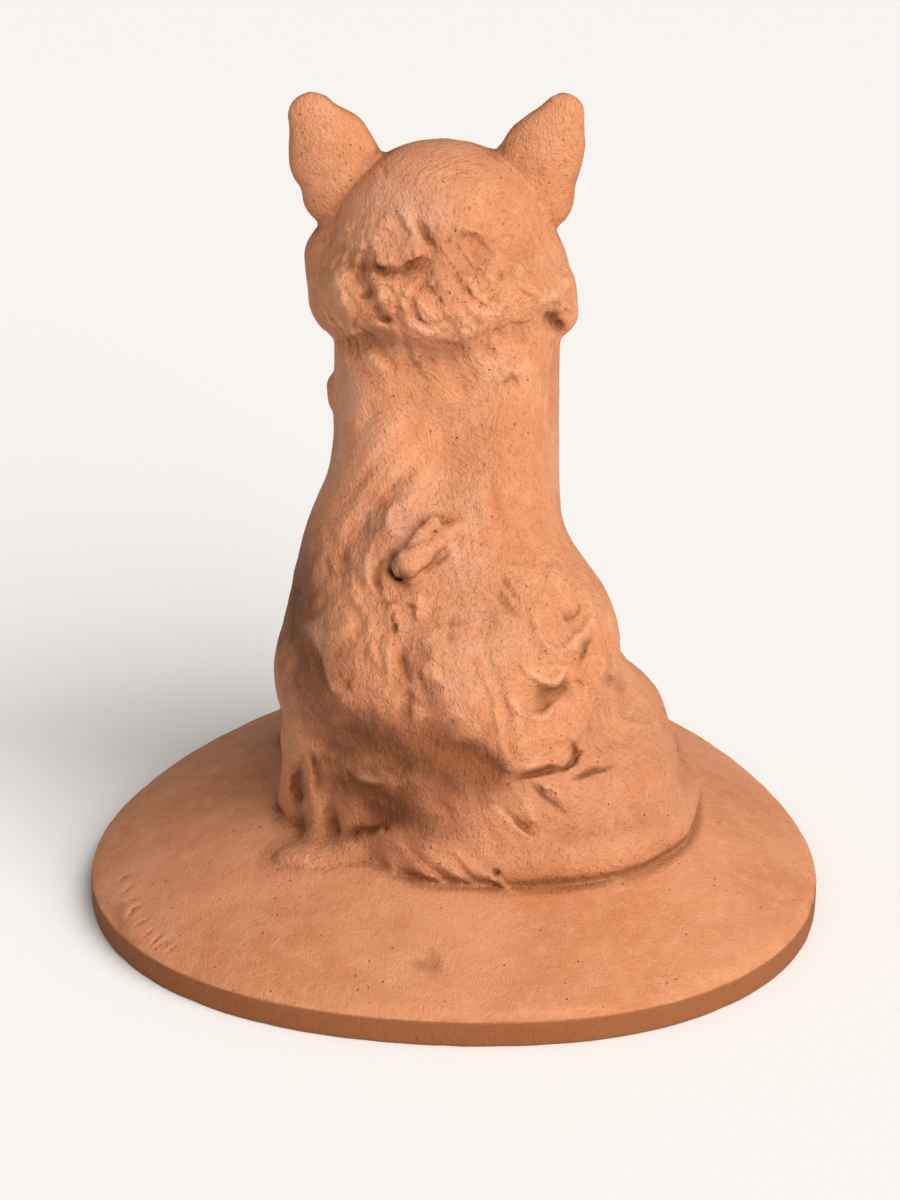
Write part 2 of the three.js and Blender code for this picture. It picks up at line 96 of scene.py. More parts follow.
def blend(first, second, width):
    """Smooth union: the smaller distance, less a parabola where the two differ by less than width."""
    overlap = np.maximum(width - np.abs(first - second), 0) / width
    return np.minimum(first, second) - overlap * overlap * width * 0.25


def carve(body, hollow, width):
    """Smooth difference: the negative of the smooth union of the body's negative and the hollow."""
    return -blend(-body, hollow, width)


def ease(share):
    """A share held to 0..1 and eased by 3s^2 - 2s^3."""
    held = np.clip(share, 0, 1)
    return held * held * (3 - 2 * held)


def turn_matrix(turn):
    """Rotation about X, then Y, then Z, by three angles in degrees."""
    a, b, c = np.radians(turn)
    about_x = np.array([[1, 0, 0], [0, math.cos(a), -math.sin(a)], [0, math.sin(a), math.cos(a)]])
    about_y = np.array([[math.cos(b), 0, math.sin(b)], [0, 1, 0], [-math.sin(b), 0, math.cos(b)]])
    about_z = np.array([[math.cos(c), -math.sin(c), 0], [math.sin(c), math.cos(c), 0], [0, 0, 1]])
    return (about_z @ about_y @ about_x).astype(np.float32)


def ball(centre, size, turn=(0, 0, 0)):
    """Ellipsoid: k(k - 1) / g, with k the point's length over the half sizes and g its slope."""
    centre, size = np.float32(centre), np.float32(size)
    matrix = turn_matrix(turn)

    def distance(points):
        local = ((points - centre) @ matrix) / size
        unit = np.sqrt((local * local).sum(1))
        slope = np.sqrt(((local / size) ** 2).sum(1))
        return unit * (unit - 1) / np.maximum(slope, 1e-6)
    return distance


def limb(start, end, start_radius, end_radius):
    """Round cone: the distance to the line from start to end, less a radius that runs evenly."""
    start, end = np.float32(start), np.float32(end)
    axis = end - start
    length2 = float(axis @ axis)
    taper = start_radius - end_radius
    slant2 = length2 - taper * taper

    def distance(points):
        rel = points - start
        along = rel @ axis
        past = along - length2
        off2 = ((rel * length2 - along[:, None] * axis) ** 2).sum(1)
        along2, past2 = along * along * length2, past * past * length2
        limit = math.copysign(taper * taper, taper) * off2
        side = (np.sqrt(off2 * slant2 / length2) + along * taper) / length2 - start_radius
        low = np.sqrt(off2 + along2) / length2 - start_radius
        high = np.sqrt(off2 + past2) / length2 - end_radius
        side = np.where(np.sign(along) * slant2 * along2 < limit, low, side)
        return np.where(np.sign(past) * slant2 * past2 > limit, high, side)
    return distance


def catmull_rom(knots, samples):
    """A cubic through each pair of knots, whose slope at a knot is half its neighbours' difference."""
    ends = np.vstack([2 * knots[0] - knots[1], knots, 2 * knots[-1] - knots[-2]])
    t = np.linspace(0, len(knots) - 1, samples)
    i = np.minimum(t.astype(int), len(knots) - 2)
    s = (t - i)[:, None]
    p0, p1, p2, p3 = (ends[i + k] for k in range(4))
    return 0.5 * (2 * p1 + (p2 - p0) * s + (2 * p0 - 5 * p1 + 4 * p2 - p3) * s ** 2
                  + (3 * p1 - p0 - 3 * p2 + p3) * s ** 3)


def rope(path, radii, steps, width):
    """Limbs in a chain along a Catmull-Rom curve through the path, at even steps of its length."""
    curve = catmull_rom(np.column_stack([path, radii]), 400)
    length = np.concatenate([[0], np.cumsum(np.linalg.norm(np.diff(curve[:, :3], axis=0), axis=1))])
    even = np.linspace(0, length[-1], steps + 1)
    spots = np.column_stack([np.interp(even, length, column) for column in curve.T])
    links = [limb(a[:3], b[:3], float(a[3]), float(b[3])) for a, b in zip(spots[:-1], spots[1:])]
    return grow([(link, width) for link in links])


def grow(forms):
    """The smooth union of forms, each blended into those before it over its own width."""
    def distance(points):
        total = forms[0][0](points)
        for form, width in forms[1:]:
            total = blend(total, form(points), width)
        return total
    return distance


# The cat's forms, in the order in which they are put on

TORSO = grow([
    (limb((BODY_X + 3, -6, 280), (BODY_X + 3, 2, 216), NECK_RADIUS, NECK_RADIUS), 1),
    (limb((BODY_X - 5, -6, 280), (BODY_X - 5, 4, 200), NECK_RADIUS, NECK_RADIUS), 4),
    (limb((31, 22, 258), (26, 40, 196), 20, 27), 9),
    (limb((-23, 22, 258), (-16, 40, 196), 20, 27), 9),
    (ball((34, 20, 174), (33.5, 44, 40)), 18),
    (ball((-15, 22, 162), (35, 44, 41)), 18),
    (ball((BODY_X + 4, 42, 146), (66.5, 60, 60)), 22),
    (ball((-28, 56, 140), (47, 48, 42)), 14),
    (ball((BODY_X + 0.2, 56, 117), (80, 68, 57)), 20),
    (ball((-8, 84, 76), (62, 50, 44)), 18),
    (ball((BODY_X, -18, 205), (40, 42, 60)), 20),
    (ball((BODY_X, -18, 90), (36, 46, 60)), 16),
    (ball((BODY_X, -36, 138), (11, 13, 22)), 12),
    (limb((50, -10, 152), (56, -6, 116), 15, 15), 12),
])

HAUNCHES = grow([
    (ball((43.5, 30, 106), (35.5, 58, 50)), 1),
    (limb((56, 62, 98), (68.5, 52, 60), 18, 10.5), 8),
    (ball((-60, 30, 75), (44, 66, 40), (0, 0, -6)), 1),
    (ball((-66, 30, 108), (18, 30, 16)), 8),
    (limb((-28, 112, 107), (-52, 100, 111), 9, 8), 12),
])

HIND_FEET = grow([
    (limb((64, 44, 52), (72, -30, 54), 14, 12), 1),
    (ball((74, -44, 57), (14, 21, 11.5), (0, 0, -5)), 8),
    (limb((-80, 10, 52), (-76, -34, 54), 15, 12), 1),
    (ball((-74, -46, 57), (14, 20, 11.5), (0, 0, 5)), 8),
])


def foreleg(side):
    """Upper arm, forearm and paw of one side, each with the width it is blended over."""
    x = BODY_X + side * 23
    return [
        (limb((x + side * 5, -10, 172), (x + side * 6, -30, 122), 24, 19), 14),
        (limb((x + side * 2, -34, 165), (x, -63, 76), 22, 13), 9),
        (ball((x, -76, 62), (16, 23, 11.5)), 6),
    ]


FORELEGS = foreleg(1) + foreleg(-1)

TAIL_PATH = [
    (22, 117, 56), (-20, 121, 53), (-50, 118, 52), (-80, 101, 51), (-98, 72, 50),
    (-105, 35, 51), (-102, 0, 52), (-90, -32, 53), (-68, -58, 56),
]
TAIL_RADII = [TAIL_RADIUS * share for share in (1.03, 1.03, 1, 0.97, 0.97, 0.93, 0.86, 0.76, 0.55)]
TAIL = rope(TAIL_PATH, TAIL_RADII, 24, 4)
HAUNCH_FOLD = grow([
    (limb((-52, 100, 72), (-84, 78, 68), 20, 19), 1),
    (ball((-86, 56, 68), (20, 30, 20)), 10),
])

SKULL = grow([
    (ball((HEAD_X, -15, 311), (51, 49, 46.3)), 1),
    (ball((HEAD_X, 4, 293), (57, 49, 29)), 9),
    (limb((49, -20, 299), (47.5, -20, 281.5), 21.3, 21.2), 12),
    (limb((-34, -20, 295), (-37.5, -20, 279.5), 20.5, 22), 12),
    (ball((HEAD_X, -50, 294), (31, 27, 23)), 12),
    (limb((HEAD_X, -40, 322), (HEAD_X, -72, 299), 23, 11), 14),
    (ball((HEAD_X + 8.5, -73, 286.5), (13.5, 12.5, 10.5)), 6),
    (ball((HEAD_X - 8.5, -73, 286.5), (13.5, 12.5, 10.5)), 6),
    (limb((HEAD_X + 9, -58, 320), (HEAD_X + 30, -48, 318), 8, 6), 9),
    (limb((HEAD_X - 9, -58, 320), (HEAD_X - 30, -48, 318), 8, 6), 9),
    (ball((HEAD_X + 24, -52, 292), (15, 14, 14)), 9),
    (ball((HEAD_X - 24, -52, 292), (15, 14, 14)), 9),
    (ball((HEAD_X, -68, 276), (13, 12, 9)), 5),
])

EYES = [
    (ball((HEAD_X + side * 22, -69, 308), (12, 9, 8), (0, side * 14, side * 26)),
     ball((HEAD_X + side * 22, -56, 307.5), (10.5, 9.5, 8)))
    for side in (1, -1)
]

NOSE = ball((HEAD_X, -81.5, 294.5), (7.5, 5.5, 4.5))


def head(points):
    """The skull with an eye socket carved and a globe set in it on each side, and the nose."""
    total = SKULL(points)
    for socket, globe in EYES:
        total = blend(carve(total, socket(points), 3), globe(points), 2)
    return blend(total, NOSE(points), 2)


def ear(side, root, tip, root_radius, tip_radius):
    """A round cone, fuller in the middle and flattened to about half its depth.

    It is hollowed by a smaller cone from the front."""
    pivot = root[1]
    middle = [(a + b) / 2 for a, b in zip(root, tip)]
    girth = (root_radius + tip_radius) / 2 + 1.2
    cone = grow([(limb(root, middle, root_radius, girth), 1), (limb(middle, tip, girth, tip_radius), 6)])
    scoop = limb((root[0] + side * 2, pivot - 23, root[2] + 2), (tip[0] - side, pivot - 9, tip[2] - 6),
                 root_radius * 0.82, tip_radius * 0.62)

    def flattened(form, points, depth):
        squeezed = points.copy()
        squeezed[:, 1] = (points[:, 1] - pivot) / depth + pivot
        return form(squeezed)

    def distance(points):
        return carve(flattened(cone, points, 0.52) * 0.6, flattened(scoop, points, 0.8) * 0.85, 3)
    return distance


EARS = [
    ear(1, (48.7, -18, 335), (65, -14, 368.2), 22.9, 12.1),
    ear(-1, (-34.3, -18, 333.5), (-51.2, -14, 369.9), 22.8, 9.7),
]


# Hand marks: clay laid on and hollows pressed in, each a start, an end and two radii

PELLET = ((0, 78, 197), (20.5, 92, 184.5), 3.4, 6.0)
ROLL = ((9.5, 79.5, 200), (18.5, 86, 192), 3.0, 1.9)
LAID = [
    PELLET,
    ROLL,
    ((53.5, -5, 241), (53.5, -3, 235), 6.5, 5.5),
    ((-45.5, -8, 289.5), (-47.5, -8, 277.5), 12.3, 12.5),
]
HOLLOWS = [
    ((28, 87, 184), (24, 89, 178), 4.6, 3.4),
    ((6, 58, 258), (5, 60, 232), 4, 2.5),
]
UNDERCUT = grow([
    (limb((82, 104, 54), (34, 140, 54), 19, 17), 1),
    (limb((60, 118, 72), (30, 138, 70), 12, 11), 10),
])
# Webs of clay that spread from the flank to the ground by the left hind foot
WEBS = grow([
    (limb((60, 80, 92), (58, 81, 52), 14, 12), 1),
    (limb((69, 68, 88), (71, 66, 52), 12, 10), 8),
    (limb((43, 98, 86), (41, 98, 54), 13, 11), 8),
    (limb((68, 87, 98), (79, 60, 54), 5, 4), 5),
    (limb((64, 91, 94), (61, 91, 50), 4.5, 5), 5),
    (ball((54, 100, 42), (30, 15, 8)), 10),
])
LAID_ON = grow([(limb(*mark), 2) for mark in LAID])
PRESSED_IN = grow([(limb(*mark), 2) for mark in HOLLOWS])


# Fur

def wave(points, size, seed):
    """The mean of three sines, one along each axis, each bent by a sine of the next axis."""
    x, y, z = (points * (2 * math.pi / size)).T
    a = np.sin(x + 1.3 * np.sin(y * 0.83 + seed) + seed * 1.7)
    b = np.sin(y + 1.1 * np.sin(z * 0.91 + seed * 2.3) + seed * 0.9)
    c = np.sin(z + 1.2 * np.sin(x * 0.77 + seed * 3.1) + seed * 2.9)
    return (a + b + c) / 3


def lattice(cells, seed):
    """A value from -1 to 1 for each whole-numbered cell, from its coordinates mixed bit by bit."""
    x, y, z = cells.T.astype(np.uint32)
    bits = x * np.uint32(73856093) ^ y * np.uint32(19349663) ^ z * np.uint32(83492791)
    bits = (bits ^ np.uint32(seed * 2654435 + 12345)) * np.uint32(1274126177)
    bits = (bits ^ (bits >> np.uint32(15))) * np.uint32(2246822519)
    return (bits ^ (bits >> np.uint32(13))).astype(np.float32) / 2147483648 - 1


def noise(points, seed):
    """Value noise: the values at a cell's eight corners, mixed by the eased place in the cell."""
    cells = np.floor(points).astype(np.int64)
    share = ease(points - cells)
    total = np.zeros(len(points), np.float32)
    for corner in np.indices((2, 2, 2)).reshape(3, -1).T:
        weight = np.where(corner, share, 1 - share).prod(1)
        total += weight * lattice(cells + corner, seed)
    return total


def clumps(points, seed):
    """Clumps with creases where noise is 0: 2.2 times the root of its square and a little, less 0.7."""
    value = noise(points, seed) + 0.45 * noise(points * 2.1 + 7.3, seed + 1)
    return np.sqrt(value * value + 0.02) * 2.2 - 0.7


def within(points, centre, reach, edge):
    """1 inside an ellipsoid, easing to 0 at its surface over the share called edge."""
    return ease((1 - np.sqrt((((points - np.float32(centre)) / np.float32(reach)) ** 2).sum(1))) / edge)


def locks(across, down, width, length):
    """Two layers of locks, staggered by half a lock, of which the higher one shows.

    A lock rises down its length to a rounded lower edge and then drops. Across, it is a raised
    cosine."""
    heights = []
    for shift in (0, 0.5):
        place = across / width + shift
        off = place - np.floor(place) - 0.5
        curved = down / length + shift - 0.5 * (1 - 4 * off * off)
        share = curved - np.floor(curved)
        ramp = np.where(share < 0.82, share / 0.82, (1 - share) / 0.18)
        heights.append(ramp * (0.55 + 0.45 * np.cos(2 * math.pi * off)))
    return np.maximum(*heights)


# How high the locks stand in each place, in millimetres, and the share of it that shows
RUFF_FUR = 3.6
FLANK_FUR = 0.9
BACK_FUR = 1.3
CHEST_FUR = 2.6
FUR_SHARE = 0.6


def fur(points):
    """The height of the locks of fur: ruff, flank, back and chest, each within its own ellipsoid."""
    x, y, z = points.T
    broad, middle, small = wave(points, 46, 1), wave(points, 38, 2), wave(points, 19, 4)
    ruff = within(points, (HEAD_X, 14, 296), (80, 62, 46), 0.5) * ease((y + 22) / 20)
    across = 56 * np.arctan2(x - HEAD_X, y + 12) + 9 * broad + 3 * small - 0.25 * (z - 290)
    height = RUFF_FUR * ruff * (locks(across, 290 - z + 7 * middle + 2.5 * small, 15, 13) - 0.35)
    flank = within(points, (-30, 76, 120), (60, 80, 62), 0.5)
    across, down = 0.75 * x + 0.5 * z + 8 * broad, 0.55 * x - 0.8 * z + 7 * middle
    height += FLANK_FUR * flank * (locks(across, down, 22, 17) - 0.4)
    back = within(points, (35, 80, 150), (60, 70, 100), 0.6) * ease((y + 5) / 20)
    across, down = 0.8 * x - 0.5 * z + 8 * middle, -0.6 * (z + x) + 8 * broad
    height += BACK_FUR * back * (locks(across, down, 16, 30) - 0.4)
    chest = within(points, (BODY_X + 1, -52, 215), (52, 40, 62), 0.5) * ease((-y - 6) / 20)
    across, down = x + 6 * broad, -z + 6 * middle - 0.02 * (x - BODY_X) ** 2
    return height + CHEST_FUR * chest * (locks(across, down, 17, 20) - 0.4)


def cat(points):
    """The signed distance of the whole cat: forms, fur, hand marks and ears, in that order."""
    total = blend(TORSO(points), HAUNCHES(points), 10)
    total = blend(total, HIND_FEET(points), 8)
    for form, width in FORELEGS:
        total = blend(total, form(points), width)
    total = blend(blend(total, HAUNCH_FOLD(points), 16), TAIL(points), 7)
    total = blend(total, head(points), 5)
    total = blend(carve(total, UNDERCUT(points), 9), WEBS(points), 9)
    total = blend(total - FUR_SHARE * fur(points), LAID_ON(points), 3)
    total = carve(total, PRESSED_IN(points), 3)
    for side in EARS:
        total = blend(total, side(points), 2.5)
    return total


def egg_radius(angle):
    """The oval's radius as a share, which swells three times round so that one end is wider."""
    return 1 - EGG_SHARE * np.cos(3 * (math.pi + angle - EGG_TURN))


def mound_height(x, y):
    """Rim height plus the rise times 1 - r^2, with r the share of the way from middle to rim."""
    across = (x - BASE_CENTRE[0]) / (BASE_WIDTH / 2)
    along = (y - BASE_CENTRE[1]) / (BASE_LENGTH / 2)
    radius = np.hypot(across, along) / egg_radius(np.arctan2(along, across))
    return RIM_HEIGHT + MOUND_RISE * (1 - radius * radius)


def figure(points):
    """The cat blended into a strip of ground round its feet, cut off just under the mound."""
    ground = mound_height(points[:, 0], points[:, 1]) - SKIRT_DROP
    body = cat(points)
    joined = blend(body, (points[:, 2] - ground) * 0.9, GROUND_BLEND)
    return np.maximum(joined, np.maximum(body - SKIRT_REACH, ground - SKIRT_DEPTH - points[:, 2]))


# Hand marks on the back, placed as the photograph shows them: each is a path of pixels of the
# 900 x 1200 photograph, a height in millimetres (less than 0 for a groove), and how far it reaches,
# in millimetres, to the left and to the right of someone who walks along the path. IMAGE_FOCAL and
# MARK_WANDER are in pixels, and MIDDLE_DEPTH is how far the cat is from the camera, in millimetres.

IMAGE_CENTRE = (450, 600)
IMAGE_FOCAL = 1200 * CAMERA_LENS / 36
MIDDLE_DEPTH = 1540.0
MARK_WANDER = 2.2

RUFF_MARKS = [
    (((412, 213), (421, 227), (428, 239), (437, 250)), -1.9, 2.8, 1.2),
    (((396, 204), (408, 222), (416, 242)), 2.0, 5.0, 2.7),
    (((352, 246), (366, 256), (381, 262), (396, 258)), 2.1, 6.6, 2.2),
    (((376, 224), (384, 232)), 1.8, 6.6, 6.6),
    (((404, 262), (416, 257), (433, 252)), 1.2, 4.0, 2.2),
    (((345, 263), (370, 270), (396, 270), (424, 261)), -1.6, 1.8, 4.0),
    (((340, 238), (360, 240), (388, 246), (410, 252)), 1.5, 8.0, 6.0),
    (((421, 260), (432, 258)), -1.4, 1.2, 1.8),
    (((404, 270), (411, 265), (420, 268)), -1.1, 1.2, 1.6),
    (((438, 236), (450, 250), (468, 258)), 0.9, 4.4, 4.4),
    (((457, 230), (466, 227), (478, 232), (489, 239)), 1.7, 1.4, 0.9),
    (((456, 236), (470, 233), (481, 239), (493, 252)), -0.9, 0.8, 1.3),
    (((491, 238), (495, 250), (498, 262)), 0.7, 2.6, 1.4),
    (((494, 256), (499, 269), (503, 281)), -0.8, 0.8, 1.0),
    (((462, 270), (474, 292), (491, 310)), 1.8, 4.0, 1.3),
    (((474, 262), (486, 270), (492, 284)), 1.8, 2.9, 2.0),
    (((482, 303), (495, 298), (509, 302)), -0.7, 1.0, 1.5),
    (((466, 304), (478, 317), (496, 320)), 1.8, 2.8, 1.1),
    (((452, 300), (462, 318), (478, 332)), 1.3, 2.2, 1.1),
    (((440, 290), (448, 312), (462, 334)), 1.2, 1.7, 1.1),
    (((430, 264), (442, 284), (462, 308)), 1.0, 1.7, 1.1),
    (((418, 268), (434, 294), (462, 326)), -0.9, 0.9, 1.1),
    (((404, 280), (422, 306), (448, 334)), 1.1, 1.4, 1.0),
    (((394, 282), (409, 306), (432, 334)), -1.0, 0.9, 1.2),
    (((386, 286), (398, 310), (416, 332)), 0.9, 1.4, 1.0),
    (((448, 262), (462, 284), (482, 308)), -0.8, 0.9, 1.1),
    (((470, 300), (486, 314), (506, 318)), 0.8, 1.8, 1.0),
    (((517, 258), (520, 281), (536, 293), (554, 290)), 1.7, 4.4, 2.2),
    (((526, 250), (540, 256), (552, 254)), 1.0, 4.4, 3.3),
    (((534, 309), (549, 300), (566, 297)), 1.8, 3.3, 1.6),
    (((542, 315), (552, 320), (562, 331)), -3.2, 2.0, 3.3),
    (((566, 274), (572, 284), (570, 296)), 2.5, 4.4, 4.4),
    (((572, 302), (568, 310)), 2.0, 3.5, 3.5),
    (((556, 296), (566, 298)), -1.0, 1.4, 1.4),
    (((345, 266), (336, 286), (348, 312)), 2.5, 2.7, 4.0),
    (((344, 280), (352, 292), (363, 305)), 2.1, 2.0, 2.0),
    (((354, 272), (364, 286), (371, 300)), -2.0, 1.7, 2.0),
    (((365, 270), (376, 287), (378, 303)), 1.8, 2.2, 2.0),
    (((374, 304), (381, 315), (392, 320)), -2.7, 2.2, 2.4),
    (((383, 282), (399, 293), (404, 312)), 2.2, 3.8, 1.2),
    (((390, 300), (397, 308), (396, 318)), -1.4, 1.1, 1.3),
    (((350, 222), (340, 236), (338, 250)), 1.3, 3.3, 3.3),
    (((362, 248), (365, 258)), -2.0, 2.7, 2.7),
    (((338, 336), (360, 330), (384, 326), (410, 330)), 1.4, 4.4, 2.0),
    (((404, 320), (426, 333), (452, 341)), 1.7, 4.0, 1.7),
    (((452, 338), (474, 334), (494, 324)), 1.3, 3.8, 1.7),
    (((378, 164), (384, 170), (381, 176)), -1.1, 1.0, 1.0),
    (((534, 196), (541, 203), (551, 203)), -0.8, 0.9, 1.1),
    (((538, 188), (545, 194), (554, 194)), -0.4, 0.9, 0.9),
]
NECK_MARKS = [
    (((462, 342), (457, 366), (468, 398)), -2.4, 6.0, 6.0),
    (((380, 352), (376, 376), (384, 396)), 0.9, 9.0, 9.0),
    (((516, 352), (520, 380), (514, 410)), 1.0, 9.0, 9.0),
    (((504, 385), (512, 380), (520, 379)), -1.0, 0.7, 0.7),
    (((513, 373), (515, 380), (519, 386)), -0.9, 0.7, 0.7),
    (((346, 470), (372, 430), (396, 406), (432, 395), (472, 402), (500, 430)), 0.8, 4.0, 9.0),
    (((343, 452), (366, 424), (390, 400)), -1.0, 3.4, 4.0),
    (((404, 412), (384, 440), (356, 478)), 1.0, 3.0, 4.0),
    (((378, 456), (362, 478), (348, 500)), -0.9, 2.0, 2.0),
    (((552, 400), (550, 430), (553, 466)), -0.6, 1.2, 1.2),
    (((545, 372), (543, 410), (547, 450)), -0.5, 1.0, 1.0),
]
BACK_MARKS = [
    (((414, 468), (402, 482), (389, 500)), -1.7, 2.2, 3.6),
    (((432, 464), (418, 482), (402, 502)), 0.9, 3.0, 3.6),
    (((396, 492), (374, 512), (350, 548)), -1.5, 3.0, 3.4),
    (((412, 496), (390, 514), (368, 542)), 1.5, 3.0, 2.4),
    (((380, 470), (362, 494), (340, 530)), 1.1, 3.4, 3.0),
    (((354, 520), (346, 552), (342, 590)), -1.4, 2.6, 3.0),
    (((372, 540), (365, 562), (368, 592)), 1.7, 2.0, 2.0),
    (((384, 556), (377, 580), (381, 598)), -1.8, 1.8, 2.0),
    (((360, 548), (354, 574), (356, 600)), 1.1, 1.8, 1.8),
    (((488, 474), (494, 500), (504, 536)), -1.3, 2.6, 3.4),
    (((474, 480), (482, 508), (488, 540)), 0.9, 3.0, 3.0),
    (((500, 576), (507, 586), (520, 603)), -1.7, 0.8, 1.0),
    (((520, 603), (528, 616), (534, 634)), -1.0, 1.6, 2.4),
    (((394, 608), (393, 619), (396, 632)), -2.9, 1.0, 1.1),
    (((404, 604), (414, 606), (426, 606)), -1.1, 0.9, 0.9),
    (((396, 602), (382, 604), (374, 600)), -1.1, 0.9, 1.0),
    (((414, 590), (419, 600), (417, 622)), 1.5, 1.8, 1.8),
    (((372, 610), (370, 640), (376, 668)), 1.4, 2.0, 2.2),
    (((390, 640), (388, 664), (392, 690)), 1.5, 1.8, 2.0),
    (((406, 636), (404, 660), (410, 684)), -1.0, 1.6, 1.6),
    (((424, 656), (420, 676), (426, 694)), -1.3, 1.0, 1.2),
    (((352, 668), (346, 686), (334, 700)), -1.4, 1.8, 2.0),
    (((404, 684), (414, 700), (430, 708)), -1.4, 1.0, 1.4),
    (((438, 640), (434, 664), (444, 690)), 1.1, 1.6, 1.6),
    (((454, 610), (450, 640), (458, 672)), -0.9, 1.6, 1.8),
    (((310, 560), (300, 600), (292, 640)), -0.9, 3.0, 3.0),
]
PELLET_MARKS = [
    (((443, 528), (434, 535), (423, 544)), -1.0, 0.8, 0.8),
    (((404, 549), (396, 563), (398, 577)), 1.0, 1.4, 1.8),
    (((447, 554), (430, 567), (416, 573)), -1.2, 1.2, 0.8),
]
FLANK_MARKS = [
    (((584, 590), (592, 610), (586, 628), (575, 643), (562, 651), (549, 648), (540, 637), (534, 622)),
     2.4, 3.0, 2.6),
    (((552, 606), (562, 620), (559, 635)), -1.8, 7.0, 7.0),
    (((574, 599), (578, 607), (572, 616), (562, 620)), -0.9, 0.8, 2.4),
    (((589, 638), (586, 650), (582, 661)), -1.6, 0.8, 1.7),
    (((581, 641), (577, 653)), 0.8, 2.0, 2.0),
    (((598, 642), (603, 660), (599, 682)), 1.5, 2.6, 3.2),
    (((611, 652), (609, 672), (603, 694)), -1.3, 2.4, 1.6),
    (((517, 662), (528, 674), (541, 681), (553, 683), (564, 676), (571, 667)), 1.8, 3.6, 1.1),
    (((532, 684), (548, 692), (561, 688), (568, 677)), -1.8, 1.3, 4.4),
    (((502, 670), (508, 690), (516, 704), (526, 714), (539, 718), (552, 709), (561, 698)), 2.0, 2.2, 3.4),
    (((520, 688), (534, 701), (548, 700)), -1.6, 5.4, 5.4),
    (((572, 672), (580, 676), (584, 685)), 0.8, 1.1, 1.1),
    (((573, 679), (578, 683), (580, 691)), -0.7, 0.9, 0.9),
    (((587, 684), (592, 693), (600, 689)), -1.2, 2.0, 2.0),
    (((604, 700), (597, 716), (590, 738)), -1.0, 3.4, 3.4),
    (((607, 676), (615, 684), (620, 693)), -1.0, 2.0, 2.6),
    (((505, 584), (516, 602), (530, 618), (538, 630)), 0.9, 3.6, 1.0),
    (((497, 586), (508, 604), (522, 621)), -0.9, 1.2, 3.0),
    (((500, 640), (512, 660), (524, 672)), -1.0, 1.6, 3.0),
    (((548, 560), (560, 580), (566, 596)), 0.8, 3.0, 3.0),
]
HAUNCH_MARKS = [
    (((414, 684), (442, 734), (480, 766), (508, 780)), -2.8, 6.0, 17.0),
    (((512, 780), (530, 776), (546, 771), (566, 770)), -2.6, 1.4, 1.1),
    (((571, 740), (574, 754), (569, 765), (560, 771)), -2.2, 1.0, 1.2),
    (((574, 756), (583, 750)), -1.3, 0.9, 0.9),
    (((573, 779), (590, 774), (611, 766)), -1.7, 1.4, 0.9),
    (((500, 770), (530, 768), (556, 764)), 1.0, 6.0, 1.4),
    (((580, 764), (598, 760), (612, 752)), 1.0, 2.4, 1.2),
    (((532, 783), (541, 790), (548, 799)), -1.7, 0.9, 1.5),
    (((548, 800), (558, 809), (570, 815)), -1.3, 1.2, 2.0),
    (((540, 784), (552, 790), (562, 800)), 1.2, 2.4, 1.2),
    (((494, 800), (510, 823), (536, 840)), 1.6, 1.4, 3.0),
    (((506, 808), (518, 824), (534, 836)), -1.5, 2.4, 1.0),
    (((522, 798), (530, 814), (540, 826)), 1.2, 2.4, 1.4),
    (((440, 724), (462, 744), (488, 760)), 0.7, 3.4, 1.6),
    (((511, 835), (540, 846), (593, 835), (650, 818), (688, 792)), -1.0, 8.0, 5.0),
    (((484, 770), (500, 784), (514, 792)), -1.4, 1.2, 1.6),
    (((470, 782), (486, 792), (500, 802)), 1.0, 1.6, 1.4),
    (((366, 786), (386, 800), (402, 806)), -1.7, 2.2, 2.2),
    (((352, 772), (372, 782), (396, 790)), 1.0, 2.6, 1.8),
    (((446, 780), (466, 790), (471, 804), (458, 812)), 1.2, 2.0, 1.6),
    (((432, 800), (446, 806), (452, 820)), -1.2, 1.6, 1.8),
    (((486, 812), (500, 832), (520, 846)), 0.9, 2.0, 2.4),
]
FRINGE_MARKS = [
    (((398, 842), (412, 862), (436, 880), (462, 890)), 1.0, 1.0, 2.0),
    (((408, 846), (426, 864), (452, 880)), -0.7, 0.9, 1.2),
    (((420, 844), (438, 862), (466, 880), (492, 890)), 1.0, 1.0, 1.6),
    (((436, 846), (456, 864), (484, 882)), -0.6, 0.8, 1.2),
    (((450, 846), (470, 866), (498, 884), (524, 898)), 1.1, 1.1, 1.6),
    (((468, 848), (486, 866), (508, 880)), -0.6, 0.9, 1.2),
    (((486, 880), (502, 892), (524, 902)), -0.9, 0.8, 0.8),
    (((493, 871), (499, 876)), -1.8, 1.3, 1.3),
    (((386, 848), (394, 872), (408, 892)), 0.7, 1.8, 2.4),
    (((404, 884), (414, 898), (430, 904)), -0.8, 1.0, 1.2),
]
LEG_MARKS = [
    (((350, 836), (362, 831), (372, 828), (385, 820)), -3.0, 1.1, 1.1),
    (((384, 820), (387, 833)), -1.8, 1.2, 1.2),
    (((301, 756), (296, 778), (292, 797)), -1.0, 1.2, 1.4),
    (((299, 785), (300, 802)), -1.7, 2.2, 2.2),
    (((311, 750), (316, 774), (314, 797)), -1.3, 1.6, 1.2),
    (((306, 736), (321, 763), (326, 782), (322, 806), (315, 828)), 1.3, 2.4, 2.4),
    (((304, 738), (298, 758), (291, 778), (286, 797)), 0.8, 1.4, 1.6),
    (((335, 748), (339, 774), (343, 798)), -0.8, 2.2, 2.0),
    (((347, 770), (354, 781)), -1.4, 1.8, 1.6),
    (((374, 784), (390, 790), (406, 797)), -1.3, 2.6, 2.2),
    (((356, 758), (368, 778), (380, 802)), 0.6, 2.6, 2.2),
    (((334, 830), (346, 844), (360, 854)), 0.6, 2.4, 2.4),
]
